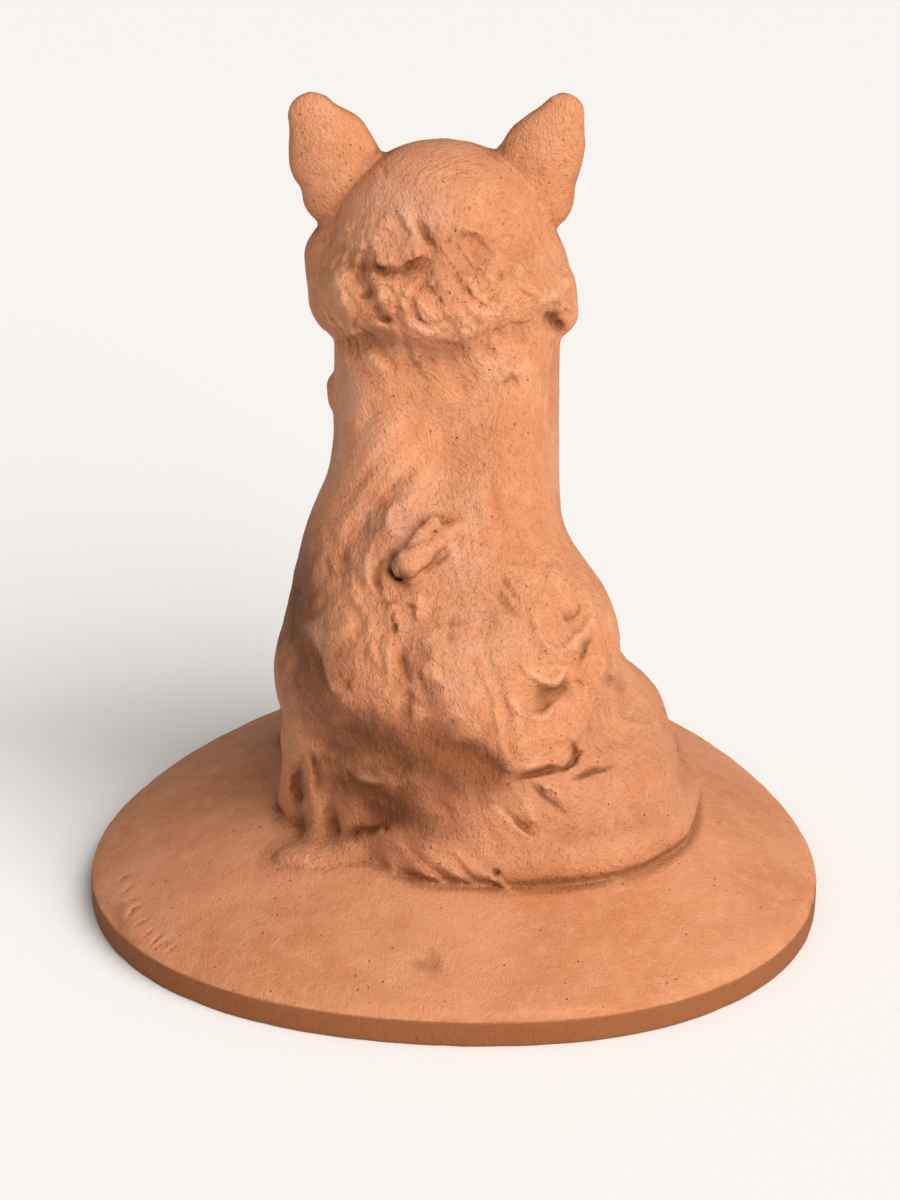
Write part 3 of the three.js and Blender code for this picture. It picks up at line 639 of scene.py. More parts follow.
# Where brown is painted, as the same values, with a share from 0 to 1 for the height: broad films,
# whose edges wander most, and fillings of single creases. The films are mostly painted shade, with
# some dust, on the shaded left flank, under the back, under the ruff and on the left rim; the last
# is a real stain on the mound. The fillings are painted shade in creases and under the pellet
SHADE_AND_DUST_FILMS = [
    (((304, 500), (300, 580), (304, 640), (316, 700), (340, 780)), 0.9, 15.0, 15.0),
    (((290, 650), (334, 712), (380, 738), (430, 760), (474, 776), (530, 798)), 1.0, 13.0, 19.0),
    (((410, 722), (450, 744), (490, 764), (530, 784)), 1.0, 9.0, 11.0),
    (((300, 740), (345, 780), (380, 800), (410, 815), (480, 850)), 1.0, 16.0, 13.0),
    (((340, 322), (380, 338), (430, 350), (500, 346)), 0.5, 4.0, 7.0),
    (((350, 256), (370, 264), (396, 270), (440, 262)), 0.5, 3.0, 4.0),
    (((380, 500), (372, 530), (366, 570)), 0.45, 5.0, 5.0),
    (((420, 640), (424, 680), (440, 720)), 0.55, 6.0, 8.0),
    (((110, 900), (124, 930), (140, 952)), 0.45, 3.0, 3.0),
    (((415, 957), (428, 962), (441, 968)), 0.4, 4.0, 4.4),
]
# Painted shade that fills single creases, and the hollow under the pellet
CREASE_SHADE = [
    (((514, 779), (530, 776), (546, 771), (566, 769)), 1.0, 2.0, 1.6),
    (((572, 738), (574, 755), (568, 765), (564, 772)), 1.0, 1.6, 1.6),
    (((570, 780), (590, 774), (614, 765)), 0.9, 1.8, 1.6),
    (((528, 781), (541, 791), (550, 802), (566, 814)), 0.9, 1.6, 2.0),
    (((500, 800), (516, 822), (534, 836)), 0.5, 3.0, 1.6),
    (((394, 548), (396, 562), (402, 578), (414, 594)), 1.0, 3.4, 3.4),
    (((388, 494), (396, 484), (402, 474)), 0.6, 1.6, 1.6),
    (((292, 760), (298, 785), (298, 812)), 0.9, 3.4, 3.4),
    (((340, 840), (366, 830), (396, 818)), 1.0, 4.0, 4.0),
    (((502, 386), (512, 380), (522, 378)), 0.7, 1.0, 1.0),
    (((512, 371), (515, 380), (520, 388)), 0.6, 0.9, 0.9),
    (((604, 674), (616, 682), (628, 690)), 0.3, 2.4, 3.4),
    (((591, 634), (586, 650), (580, 665)), 0.8, 1.2, 1.4),
    (((573, 598), (578, 607), (572, 616), (564, 619)), 0.4, 0.8, 0.9),
    (((536, 684), (550, 690), (563, 685), (567, 676)), 0.5, 1.6, 2.4),
    (((414, 216), (423, 231), (434, 248)), 0.6, 2.0, 1.6),
    (((458, 236), (471, 234), (482, 240), (493, 253)), 0.6, 1.0, 1.6),
    (((542, 314), (552, 320), (566, 332)), 0.8, 3.0, 3.0),
]
MARKS = [
    *RUFF_MARKS, *NECK_MARKS, *BACK_MARKS, *PELLET_MARKS,
    *FLANK_MARKS, *HAUNCH_MARKS, *FRINGE_MARKS, *LEG_MARKS,
]


def seen(points):
    """The photograph's pixel of each point: its place beside the camera's axis over its depth."""
    tilt = math.radians(CAMERA_TILT)
    rel = points - np.float32(CAMERA_PLACE)
    depth = -rel[:, 1] * math.cos(tilt) - rel[:, 2] * math.sin(tilt)
    rise = -rel[:, 1] * math.sin(tilt) + rel[:, 2] * math.cos(tilt)
    scale = IMAGE_FOCAL / depth
    return IMAGE_CENTRE[0] - rel[:, 0] * scale, IMAGE_CENTRE[1] - rise * scale


def curve_through(path, steps):
    """A Catmull-Rom curve through the path's points, with that many steps between two of them."""
    return catmull_rom(np.array(path, float), steps * (len(path) - 1) + 1)


def mark_height(u, v, mark, pixel=MIDDLE_DEPTH / IMAGE_FOCAL):
    """The mark's height times exp(-(d / reach)^2), with d the distance from its path.

    A pixel is that many millimetres wide at the cat. Towards each end of the path the height fades
    by a quarter sine, and the reach by half of it."""
    path, height, left, right = mark
    curve = curve_through(path, 4)
    nearest = np.full(len(u), 1e9)
    side = np.ones(len(u))
    place = np.zeros(len(u))
    for i, (a, b) in enumerate(zip(curve[:-1], curve[1:])):
        du, dv = b - a
        t = np.clip(((u - a[0]) * du + (v - a[1]) * dv) / (du * du + dv * dv), 0, 1)
        off = np.hypot(u - a[0] - t * du, v - a[1] - t * dv)
        closer = off < nearest
        nearest = np.where(closer, off, nearest)
        side = np.where(closer, du * (v - a[1]) - dv * (u - a[0]), side)
        place = np.where(closer, (i + t) / (len(curve) - 1), place)
    fade = np.sin(0.5 * math.pi * np.clip(0.1 + 2.6 * np.minimum(place, 1 - place), 0, 1))
    reach = np.where(side > 0, right, left) * (0.5 + 0.5 * fade)
    return height * fade * np.exp(-(nearest * pixel / reach) ** 2)


def marks_seen(points, marks, wander=MARK_WANDER):
    """For one mark after another: which points are near it, and its height there.

    Noise bends the paths by about as many pixels as wander says. The height fades where the
    surface turns away from the camera."""
    x, y, z = points.T
    u, v = seen(points)
    u = u + wander * (noise(points / 9, 81) + 0.5 * noise(points / 4, 82))
    v = v + wander * (noise(points / 9, 83) + 0.5 * noise(points / 4, 84))
    facing = (y + 12) / np.maximum(np.hypot(x - HEAD_X, y + 12), 1)
    behind = ease((y + 24) / 16) * np.maximum(ease((z - 322) / 10), ease((facing - 0.05) / 0.3))
    for mark in marks:
        margin = 2.5 * max(mark[2:]) * IMAGE_FOCAL / MIDDLE_DEPTH
        low = np.min(mark[0], axis=0) - margin
        high = np.max(mark[0], axis=0) + margin
        near = (u > low[0]) & (u < high[0]) & (v > low[1]) & (v < high[1]) & (behind > 0)
        yield near, mark_height(u[near], v[near], mark) * behind[near]


def marks_on_back(points, marks=MARKS):
    """The sum of the marks' heights, made uneven by noise, as a hand does."""
    total = np.zeros(len(points), np.float32)
    for near, height in marks_seen(points, marks):
        total[near] += height
    return total * (1 + 0.35 * noise(points / 7, 85))


def dust_and_shade_seen(points):
    """The largest share of dust and painted shade that any of its places has at each point."""
    total = np.zeros(len(points), np.float32)
    for places, wander in ((SHADE_AND_DUST_FILMS, 4 * MARK_WANDER), (CREASE_SHADE, MARK_WANDER)):
        for near, share in marks_seen(points, places, wander):
            total[near] = np.maximum(total[near], share)
    return total


# Marks on the front, as the same values, but with x to one side of the head's middle, and z, in
# millimetres: each is made on both sides

FACE_MARKS = [
    (((11.5, 303), (15.5, 310), (23, 314), (32, 311)), -1.4, 1.1, 1.1),
    (((11.5, 303), (18, 301), (26, 303), (32, 311)), -0.8, 1.1, 1.1),
    (((12, 308), (18, 316.5), (27, 318), (35, 312)), 1.1, 2.0, 2.0),
    (((22, 309), (22, 305)), -1.6, 1.9, 1.9),
    (((2.8, 291), (6, 293.5)), -1.6, 1.1, 1.1),
    (((0, 299), (5, 298.5), (8.5, 295)), -0.6, 1.0, 1.0),
    (((0, 290), (0, 284)), -0.8, 0.9, 0.9),
    (((0, 284), (5, 279.5), (12, 278), (20, 283)), -1.9, 1.1, 1.5),
    (((9, 286), (10.5, 286)), -0.7, 0.8, 0.8),
    (((13.5, 283.5), (15, 283.5)), -0.7, 0.8, 0.8),
    (((12.5, 289), (14, 289)), -0.7, 0.8, 0.8),
]
CHEST_MARKS = [
    (((22, 264), (15, 250), (6, 240)), 1.0, 2.6, 1.4),
    (((26, 262), (19, 248), (10, 238)), -0.8, 1.2, 1.6),
    (((32, 242), (24, 228), (13, 218)), 1.0, 2.6, 1.4),
    (((16, 224), (10, 212), (3, 204)), 1.0, 2.6, 1.4),
    (((20, 222), (14, 210), (7, 202)), -0.8, 1.2, 1.6),
    (((28, 204), (19, 192), (10, 186)), 0.9, 2.6, 1.4),
    (((12, 192), (7, 180), (1, 172)), 0.9, 2.4, 1.4),
    (((-2, 130), (-2, 100), (-2, 70)), -1.6, 3.0, 3.0),
]
TOE_MARKS = [
    (((17.5, 69), (17, 52)), -1.5, 1.0, 1.0),
    (((24, 69), (24.5, 52)), -1.5, 1.0, 1.0),
    (((68, 66), (67.5, 50)), -1.3, 1.0, 1.0),
    (((75, 65), (75.5, 50)), -1.3, 1.0, 1.0),
]


def marks_in_front(points):
    """The sum of the heights of the marks on the face and the paws, on both sides."""
    x, y, z = points.T
    total = np.zeros(len(points), np.float32)
    front = y < -30
    for side in (1, -1):
        for mark in FACE_MARKS + CHEST_MARKS + TOE_MARKS:
            heights = [place[1] for place in mark[0]]
            near = front & (z > min(heights) - 8) & (z < max(heights) + 8)
            total[near] += mark_height(side * (x[near] - HEAD_X), z[near], mark, 1.0)
    return total * ease((-y - 30) / 12)


# Hair and skin

HAIR_RADIUS = 64.0
HAIR_TWIST = 0.3


def strand(points):
    """The hair's own coordinates in millimetres: two across, on a circle, and one down the strand.

    The circle is round the cat's upright axis, so a strand runs down the body and spreads with it.
    It is turned with the height, which slants the strands, and bent by a slow wave."""
    x, y, z = points.T
    bend = 9 * wave(points, 46, 1)
    angle = np.arctan2(x - HEAD_X, y + 12) + (bend - HAIR_TWIST * (z - 200)) / HAIR_RADIUS
    return np.column_stack([HAIR_RADIUS * np.sin(angle), HAIR_RADIUS * np.cos(angle), bend - z])


def combed(points):
    """How much a surface is combed: fully on the ruff, back, flank and chest, easing to nothing."""
    ruff = within(points, (HEAD_X, 20, 286), (78, 70, 56), 0.4)
    back = within(points, (18, 88, 150), (84, 72, 92), 0.5)
    flank = within(points, (-44, 96, 110), (70, 66, 72), 0.5)
    chest = within(points, (BODY_X, -60, 210), (50, 40, 70), 0.5)
    return np.maximum(np.maximum(ruff, back), np.maximum(flank, chest))


# Heights of the clumps and of the dabs, in millimetres
RUFF_CLUMP = 1.5
BACK_CLUMP = 1.3
FLANK_CLUMP = 0.8
NARROW_CLUMP = 0.6
SKIN_DABS = 0.6
# The marks and the relief are worked out where the figure's surface is nearer than this
RELIEF_BAND = 9


def relief(points):
    """Clumps of hair that run along the strands, in three sizes, over flat dabs of clay.

    The large ones are 15 mm wide on the ruff and 11 mm on the back and by the tail's root, and
    the small ones are 4.5 mm. The dabs are 20 and 9 mm wide, on the smooth skin as well."""
    hair = strand(points)
    hair = hair + 3.5 * noise(points / 15, 21)[:, None]
    ruff = within(points, (HEAD_X, 16, 288), (80, 66, 42), 0.35) * ease((points[:, 1] + 30) / 20)
    back = within(points, (16, 88, 150), (86, 72, 92), 0.5)
    flank = within(points, (0, 104, 112), (46, 50, 62), 0.5)
    broad = clumps(hair / (15, 15, 20), 31)
    middle = clumps(hair / (11, 11, 38), 41)
    narrow = clumps(hair / (4.5, 4.5, 22), 51)
    dabs = noise(points / 20, 61) + 0.5 * noise(points / 9, 71)
    height = RUFF_CLUMP * ruff * broad + (BACK_CLUMP * back + FLANK_CLUMP * flank) * middle
    return height + NARROW_CLUMP * (0.25 + 0.75 * combed(points)) * narrow + SKIN_DABS * dabs


def modelled(points):
    """The figure's distance less its marks and its fine relief, where it is under 9 mm."""
    total = figure(points)
    near = np.abs(total) < RELIEF_BAND
    close = points[near]
    total[near] -= marks_on_back(close) + marks_in_front(close) + relief(close)
    return total


# Meshes

# The grid's cell in millimetres, its box round the cat, the points along a block's side and in a
# chunk, and how many of the figure's triangles are kept
CELL = 1.5
FIGURE_LOW = (-134.0, -112.0, 26.0)
FIGURE_HIGH = (112.0, 162.0, 390.0)
BLOCK = 4
CHUNK = 200000
FIGURE_TRIANGLES = 168000


def evaluate(field, points):
    """The field at all the points, a chunk at a time to hold the memory down."""
    pieces = [field(points[i:i + CHUNK]) for i in range(0, len(points), CHUNK)]
    return np.concatenate(pieces)


def sample_grid(field, coarse, low, high, cell):
    """The field on a cubic grid: only in the blocks of 4 x 4 x 4 whose middle is near the surface.

    The rest of the grid holds 99 with the sign of the coarse field at the block's middle."""
    low = np.float32(low)
    blocks = np.ceil((np.float32(high) - low) / cell / BLOCK).astype(int)
    places = np.indices(blocks).reshape(3, -1).T
    middle = (low + (places * BLOCK + (BLOCK - 1) / 2) * cell).astype(np.float32)
    rough = evaluate(coarse, middle)
    near = np.abs(rough) < cell * BLOCK * 0.9 + 6
    grid = 99 * np.sign(rough).reshape(blocks).astype(np.float32)
    for axis in range(3):
        grid = np.repeat(grid, BLOCK, axis)
    corner = np.indices((BLOCK,) * 3).reshape(3, -1).T
    fine = (places[near][:, None] * BLOCK + corner).reshape(-1, 3)
    grid[tuple(fine.T)] = evaluate(field, (low + fine * cell).astype(np.float32))
    return grid


def surface_net(grid, low, cell):
    """Naive surface net: one vertex for each cell that the surface crosses, one quad for each edge.

    A vertex is the mean of the places, found linearly, where the cell's edges cross zero."""
    inside = grid < 0
    corners = np.indices((2, 2, 2)).reshape(3, -1).T
    size = np.array(grid.shape) - 1

    def shifted(array, by):
        return array[tuple(slice(b, b + n) for b, n in zip(by, size))]

    count = sum(shifted(inside, c).astype(np.int8) for c in corners)
    cells = np.argwhere((count > 0) & (count < 8))
    number = np.full(size, -1)
    number[tuple(cells.T)] = np.arange(len(cells))
    total, crossings = np.zeros((len(cells), 3)), np.zeros((len(cells), 1))
    for start in corners:
        for axis in np.flatnonzero(start == 0):
            end = start + np.eye(3, dtype=int)[axis]
            a, b = grid[tuple((cells + start).T)], grid[tuple((cells + end).T)]
            crossed = (a < 0) != (b < 0)
            share = np.where(crossed, a / np.where(crossed, a - b, 1), 0)
            place = start + share[:, None] * (end - start)
            total += np.where(crossed[:, None], place, 0)
            crossings += crossed[:, None]
    vertices = np.float32(low) + (cells + total / crossings) * cell
    quads = []
    for axis in range(3):
        first, second = (axis + 1) % 3, (axis + 2) % 3
        step = np.eye(3, dtype=int)
        a = np.take(inside, range(grid.shape[axis] - 1), axis)
        b = np.take(inside, range(1, grid.shape[axis]), axis)
        edges = np.argwhere(a != b)
        edges = edges[(edges[:, first] > 0) & (edges[:, second] > 0)]
        ring = [edges - step[first] - step[second], edges - step[second], edges, edges - step[first]]
        quad = np.column_stack([number[tuple(place.T)] for place in ring])
        outward = a[tuple(edges.T)]
        quads.append(np.where(outward[:, None], quad, quad[:, ::-1]))
    return vertices, np.concatenate(quads)


def slope(field, points, step=0.5):
    """The field's slope: the difference over a step to each side along X, Y and Z."""
    offsets = np.eye(3, dtype=np.float32) * step
    rise = [evaluate(field, points + o) - evaluate(field, points - o) for o in offsets]
    return np.column_stack(rise) / (2 * step)


# Base: the points of a ring, the angle where they lie closest and by what share, and the arris

SEGMENTS = 320
FINE_ANGLE = 0.58
FINE_SHARE = 0.8
ARRIS = 1.4
CHIPS = [
    # angle in degrees, then half width along the rim and depth in millimetres
    (97, 7, 1.5), (104, 5, 1.2), (88, 3, 1.0), (76, 4, 0.9), (60, 3, 0.9), (47, 5, 1.3),
    (31, 3, 1.0), (131, 4, 1.1), (158, 3, 1.4), (163, 5, 1.0), (205, 4, 1.2), (238, 6, 1.0),
    (281, 4, 1.3), (322, 5, 1.1),
]


def rim_loss(angle):
    """How far the worn arris stands back, in mm: slow waves round the rim, and chips as bells."""
    loss = 0.35 + 0.2 * np.sin(9 * angle + 1.3) * np.sin(23 * angle) + 0.15 * np.sin(57 * angle + 2)
    for degrees, width, depth in CHIPS:
        turn = np.angle(np.exp(1j * (angle - math.radians(degrees))))
        loss = loss + depth * np.exp(-(turn * BASE_WIDTH / 2 / width) ** 2)
    return loss


def base_surface():
    """The base as rings round the middle: underside, a bent rim wall, a worn arris and the mound.

    A ring is a share of the egg-shaped outline, set in by some millimetres, at its own height.
    Its points lie closer together where the row of strokes is."""
    t = np.linspace(0, 1, SEGMENTS, endpoint=False)
    spread = 2 * math.pi * t
    angle = spread - FINE_SHARE * np.sin(spread - FINE_ANGLE)
    loss = rim_loss(angle)
    outline = egg_radius(angle)
    half = np.hypot(BASE_WIDTH / 2 * np.cos(angle), BASE_LENGTH / 2 * np.sin(angle))
    rings = []

    def ring(share, inset, height):
        radius = outline * share * (1 - inset / half)
        x = BASE_CENTRE[0] + BASE_WIDTH / 2 * radius * np.cos(angle)
        y = BASE_CENTRE[1] + BASE_LENGTH / 2 * radius * np.sin(angle)
        rings.append(np.column_stack([x, y, np.broadcast_to(height, x.shape)]))

    for share in (0.4, 0.8, 0.95):
        ring(share, 0, 0)
    ring(1, 1.6, 0)
    ring(1, 0.5 + 0.4 * loss, 0.5)
    wobble = 0.3 * (1 + np.sin(7 * angle + 1) * np.sin(16 * angle))
    for height in np.linspace(2, RIM_HEIGHT - ARRIS - 1, 6):
        bulge = 0.25 * (2 * height / RIM_HEIGHT - 1) ** 2
        ring(1, wobble * (1 - bulge) + bulge, height + 0.1 * np.sin(31 * angle + height))
    for turn in np.linspace(0, math.pi / 2, 5)[:-1]:
        back = 0.35 + (ARRIS + loss) * (1 - math.cos(turn))
        ring(1, back + 0.3 * loss, RIM_HEIGHT - (ARRIS + 0.5 * loss) * (1 - math.sin(turn)))
    inner = np.concatenate([np.linspace(0.978, 0.9, 10), np.linspace(0.896, 0.76, 32),
                            np.linspace(0.74, 0.5, 12), np.linspace(0.46, 0.1, 8)])
    for share in inner:
        ring(share, 0, RIM_HEIGHT + MOUND_RISE * (1 - share * share))
    points = np.concatenate(rings)
    top = points[:, 2] > RIM_HEIGHT
    points[top, 2] += ground_relief(points[top])
    middle = mound_height(np.array([BASE_CENTRE[0]]), np.array([BASE_CENTRE[1]]))[0]
    return points, len(rings), middle


def ground_relief(points):
    """Flat dabs of clay 60 and 26 mm wide on the mound, less the row of strokes near the rim."""
    rise = 0.35 * wave(points, 60, 11) + 0.22 * wave(points, 26, 12)
    return rise + row_of_strokes(points)


# A row of shallow strokes near the rim. The row's path and the strokes' length are in pixels of the
# photograph, and their depth, burr and reach are in millimetres.

STROKE_ROW = ((122, 876), (134, 908), (150, 934), (172, 950))
STROKE_COUNT = 9
STROKE_LENGTH = 19
STROKE_DEPTH = 1.8
STROKE_REACH = 0.75
BURR_HEIGHT = 0.6
BURR_REACH = 1.7


def row_of_strokes(points):
    """Short bent strokes side by side along a curve. Their slant, length and bend vary by sines.

    The tool leaves a low burr on both sides of its groove."""
    u, v = seen(points)
    total = np.zeros(len(points), np.float32)
    line = curve_through(STROKE_ROW, 8)
    for i in range(STROKE_COUNT):
        place = i / (STROKE_COUNT - 1) * (len(line) - 1)
        centre = np.array([np.interp(place, range(len(line)), column) for column in line.T])
        turn = 0.5 + 0.35 * math.sin(2.4 * i)
        reach = STROKE_LENGTH * (0.36 + 0.14 * math.cos(1.9 * i))
        along = reach * np.array([math.cos(turn), -math.sin(turn)])
        across = 0.4 * reach * math.sin(1.3 * i + 1) * np.array([math.sin(turn), math.cos(turn)])
        path = (centre - along, centre + across, centre + along)
        total += mark_height(u, v, (path, -STROKE_DEPTH, STROKE_REACH, STROKE_REACH))
        total += mark_height(u, v, (path, BURR_HEIGHT, BURR_REACH, BURR_REACH))
    return total


# From arrays to one closed piece

def mesh_object(name, vertices, faces):
    """A linked object with the mesh of these vertices, in metres, and faces."""
    mesh = bpy.data.meshes.new(name)
    mesh.from_pydata(vertices, [], faces)
    mesh.update()
    obj = bpy.data.objects.new(name, mesh)
    bpy.context.scene.collection.objects.link(obj)
    return obj


def applied(obj, kind, **settings):
    """The object with a modifier of that kind and settings applied to its mesh."""
    modifier = obj.modifiers.new(kind.title(), kind)
    for name, value in settings.items():
        setattr(modifier, name, value)
    graph = bpy.context.evaluated_depsgraph_get()
    mesh = bpy.data.meshes.new_from_object(obj.evaluated_get(graph))
    obj.modifiers.clear()
    obj.data = mesh
    return obj


def figure_object():
    """The cat as a surface net of its field, moved onto the field's zero and thinned."""
    low = FIGURE_LOW
    grid = sample_grid(modelled, figure, low, FIGURE_HIGH, CELL)
    vertices, quads = surface_net(grid, low, CELL)
    points = vertices.astype(np.float32)
    uphill = slope(modelled, points)
    length2 = np.maximum((uphill ** 2).sum(1), 0.25)
    step = np.clip(evaluate(modelled, points) / length2, -0.4 * CELL, 0.4 * CELL)
    points = points - step[:, None] * uphill
    obj = mesh_object("figure", points * MM, quads.tolist())
    return applied(obj, "DECIMATE", ratio=min(1, FIGURE_TRIANGLES / (2 * len(quads))))


def base_object():
    """The base's rings joined by quads, with a fan of triangles to the middle below and on top."""
    points, rings, middle = base_surface()
    number = np.arange(rings * SEGMENTS).reshape(rings, SEGMENTS)
    ahead = np.roll(number, -1, 1)
    walls = np.stack([number[:-1], ahead[:-1], ahead[1:], number[1:]], -1).reshape(-1, 4)
    bottom, top = len(points), len(points) + 1
    ends = np.array([[*BASE_CENTRE, 0], [*BASE_CENTRE, middle]])
    below = np.column_stack([np.full(SEGMENTS, bottom), ahead[0], number[0]])
    above = np.column_stack([np.full(SEGMENTS, top), number[-1], ahead[-1]])
    faces = walls.tolist() + below.tolist() + above.tolist()
    return mesh_object("base", np.concatenate([points, ends]) * MM, faces)


def whole(points):
    """The distance to the cat or the mound, whichever is nearer."""
    ground = (points[:, 2] - mound_height(points[:, 0], points[:, 1])) * 0.9
    return blend(cat(points), ground, GROUND_BLEND)


def hollowness(points, normals, reach):
    """1 less the share of a step outwards by which the distance grows: 0 on open clay, 1 in a pit."""
    return 1 - evaluate(whole, (points + normals * reach).astype(np.float32)) / reach


BLOOM_PLACES = [
    # middle and reach of the places with a pale bloom, in millimetres
    ((44, 40, 236), (26, 40, 34)),
    ((20, 70, 200), (46, 50, 34)),
    ((-2, 76, 186), (30, 40, 46)),
    ((24, 18, 330), (40, 50, 26)),
    ((-10, 100, 140), (50, 40, 50)),
    ((-18, 36, 262), (10, 20, 16)),
]
# Steps outwards that find creases and hollows, in millimetres
CREASE_STEP = 3.0
HOLLOW_STEP = 11.0
# Painted shade for each millimetre of depth of a mark and of a stroke, added to the hollows' darkening.
# Only marks hold it that reach less than NARROW_MARK millimetres to one side at least.
MARK_SHADE = 0.11
STROKE_SHADE = 0.5
NARROW_MARK = 2.0
# Shares of darkening: on the rim's wall, which is dust and painted shade, and low on the cat, darker
# towards the bottom
RIM_DUST_AND_SHADE = 0.7
LOW_DARKENING = 0.16


def bloom_share(points):
    """The largest share that any of the places has at each point, eased over most of its reach."""
    shares = [within(points, middle, reach, 0.85) for middle, reach in BLOOM_PLACES]
    return np.max(shares, axis=0)


def colour_attributes(obj):
    """Vertex values that the clay's material reads, all from 0 to 1, and the hair's coordinates."""
    mesh = obj.data
    count = len(mesh.vertices)
    points = np.empty(count * 3, np.float32)
    mesh.vertices.foreach_get("co", points)
    points = points.reshape(-1, 3) / MM
    normals = np.empty(count * 3, np.float32)
    mesh.vertices.foreach_get("normal", normals)
    normals = normals.reshape(-1, 3)
    fine = hollowness(points, normals, CREASE_STEP)
    broad = hollowness(points, normals, HOLLOW_STEP)
    marks = marks_on_back(points, [mark for mark in MARKS if min(mark[2:]) < NARROW_MARK])
    hair = strand(points) * MM
    on_base = ease((cat(points) - 2) / 6)
    # The rim's wall is darkened: partly its own dust, partly painted shade on a wall that faces away from
    # the light
    rim = RIM_DUST_AND_SHADE * ease((RIM_HEIGHT - 0.5 - points[:, 2]) / 2)
    # Darker towards the bottom of the cat
    low = LOW_DARKENING * (1 - on_base) * ease((125 - points[:, 2]) / 40)
    # Painted shade in the grooves of the marks and strokes
    groove_shade = MARK_SHADE * marks + STROKE_SHADE * row_of_strokes(points)
    values = {
        # hollow: slip and painted shade in hollows and creases
        "hollow": np.clip(0.7 * broad + 0.5 * fine - groove_shade, 0, 1),
        # ridge: rubbed wear and a painted highlight on convex ridges and edges
        "ridge": np.clip(-0.7 * fine + 0.22 * marks, 0, 1),
        "bloom": bloom_share(points),
        # Dust and painted shade: the films and creases, the rim's wall, and darker towards the bottom of
        # the cat
        "dust": np.maximum(dust_and_shade_seen(points), np.maximum(rim, low)),
        "combed": combed(points),
        "on_base": on_base,
        "on_cat": 1 - on_base,
    }
    for name, value in values.items():
        mesh.attributes.new(name, "FLOAT", "POINT").data.foreach_set("value", np.float32(value))
    mesh.attributes.new("hair", "FLOAT_VECTOR", "POINT").data.foreach_set(
        "vector", np.float32(hair).ravel())


# Materials

def linear(colour):
    """An sRGB hex colour as linear red, green, blue and an alpha of 1."""
    shares = [int(colour[i:i + 2], 16) / 255 for i in (1, 3, 5)]
    return (*[s / 12.92 if s <= 0.04045 else ((s + 0.055) / 1.055) ** 2.4 for s in shares], 1)


def add(tree, kind, inputs=None, output=0, **settings):
    """The output of a new node of that kind: an input is a value or another node's output."""
    node = tree.nodes.new(kind)
    for name, value in settings.items():
        setattr(node, name, value)
    for key, value in (inputs or {}).items():
        if isinstance(value, bpy.types.NodeSocket):
            tree.links.new(value, node.inputs[key])
        else:
            node.inputs[key].default_value = value
    return node.outputs[output] if len(node.outputs) else None


def new_material(name):
    """An empty node material and its tree."""
    material = bpy.data.materials.new(name)
    material.use_nodes = True
    material.node_tree.nodes.clear()
    return material, material.node_tree


def per_metre(size_mm):
    """The noise scale whose pattern repeats about every size_mm millimetres."""
    return 1000 / size_mm


# The tones that are laid over the clay's own colour: each is a colour, then the noise that it
# follows (the size of its pattern in millimetres, detail, roughness, coordinates and the low and
# high ends of the part used), its share where that is full, and the vertex value it is held to
TONES = (
    ("body_deep", 55, 4, 0.55, "place", 0.36, 0.64, 1.0, None),
    ("body_pale", 9, 5, 0.65, "place", 0.42, 0.72, 0.42, None),
    ("body_deep", 30, 4, 0.6, "place", 0.5, 0.72, 0.4, "on_base"),
    ("body_pale", 14, 6, 0.7, "place", 0.5, 0.7, 0.35, "on_base"),
    ("bloom", 26, 5, 0.6, "place", 0.35, 0.65, 0.35, "bloom"),
    ("body_deep", 9, 5, 0.7, "hair", 0.42, 0.7, 0.35, "combed"),
    # The dust tone: brown dust, and painted shade on the shaded flank, under the back and ruff and in
    # creases
    ("dust", 12, 5, 0.65, "place", 0.0, 0.45, 0.95, "dust"),
)

# The relief of the bump: the size of the pattern in millimetres, detail, roughness, coordinates,
# the low and high ends of the part used, the height in millimetres (less than 0 for pits), and the
# vertex value that it is held to with its least share
RELIEF = (
    (1.7, 3, 0.6, "stroke", 0.0, 1.0, 1.2, "on_cat", 0.25),
    (2.4, 2, 0.5, "stroke", 0.58, 0.66, 0.28, "combed", 0.2),
    (2.6, 3, 0.6, "hair", 0.0, 1.0, 0.85, "combed", 0.2),
    (6.0, 5, 0.62, "place", 0.0, 1.0, 1.5, "on_cat", 0.3),
    (2.6, 2, 0.5, "place", 0.6, 0.7, 0.25, "combed", 0.25),
    (1.1, 4, 0.7, "place", 0.0, 1.0, 0.6, "on_cat", 0.85),
    (1.9, 2, 0.5, "place", 0.6, 0.7, -0.4, "on_cat", 0.3),
)


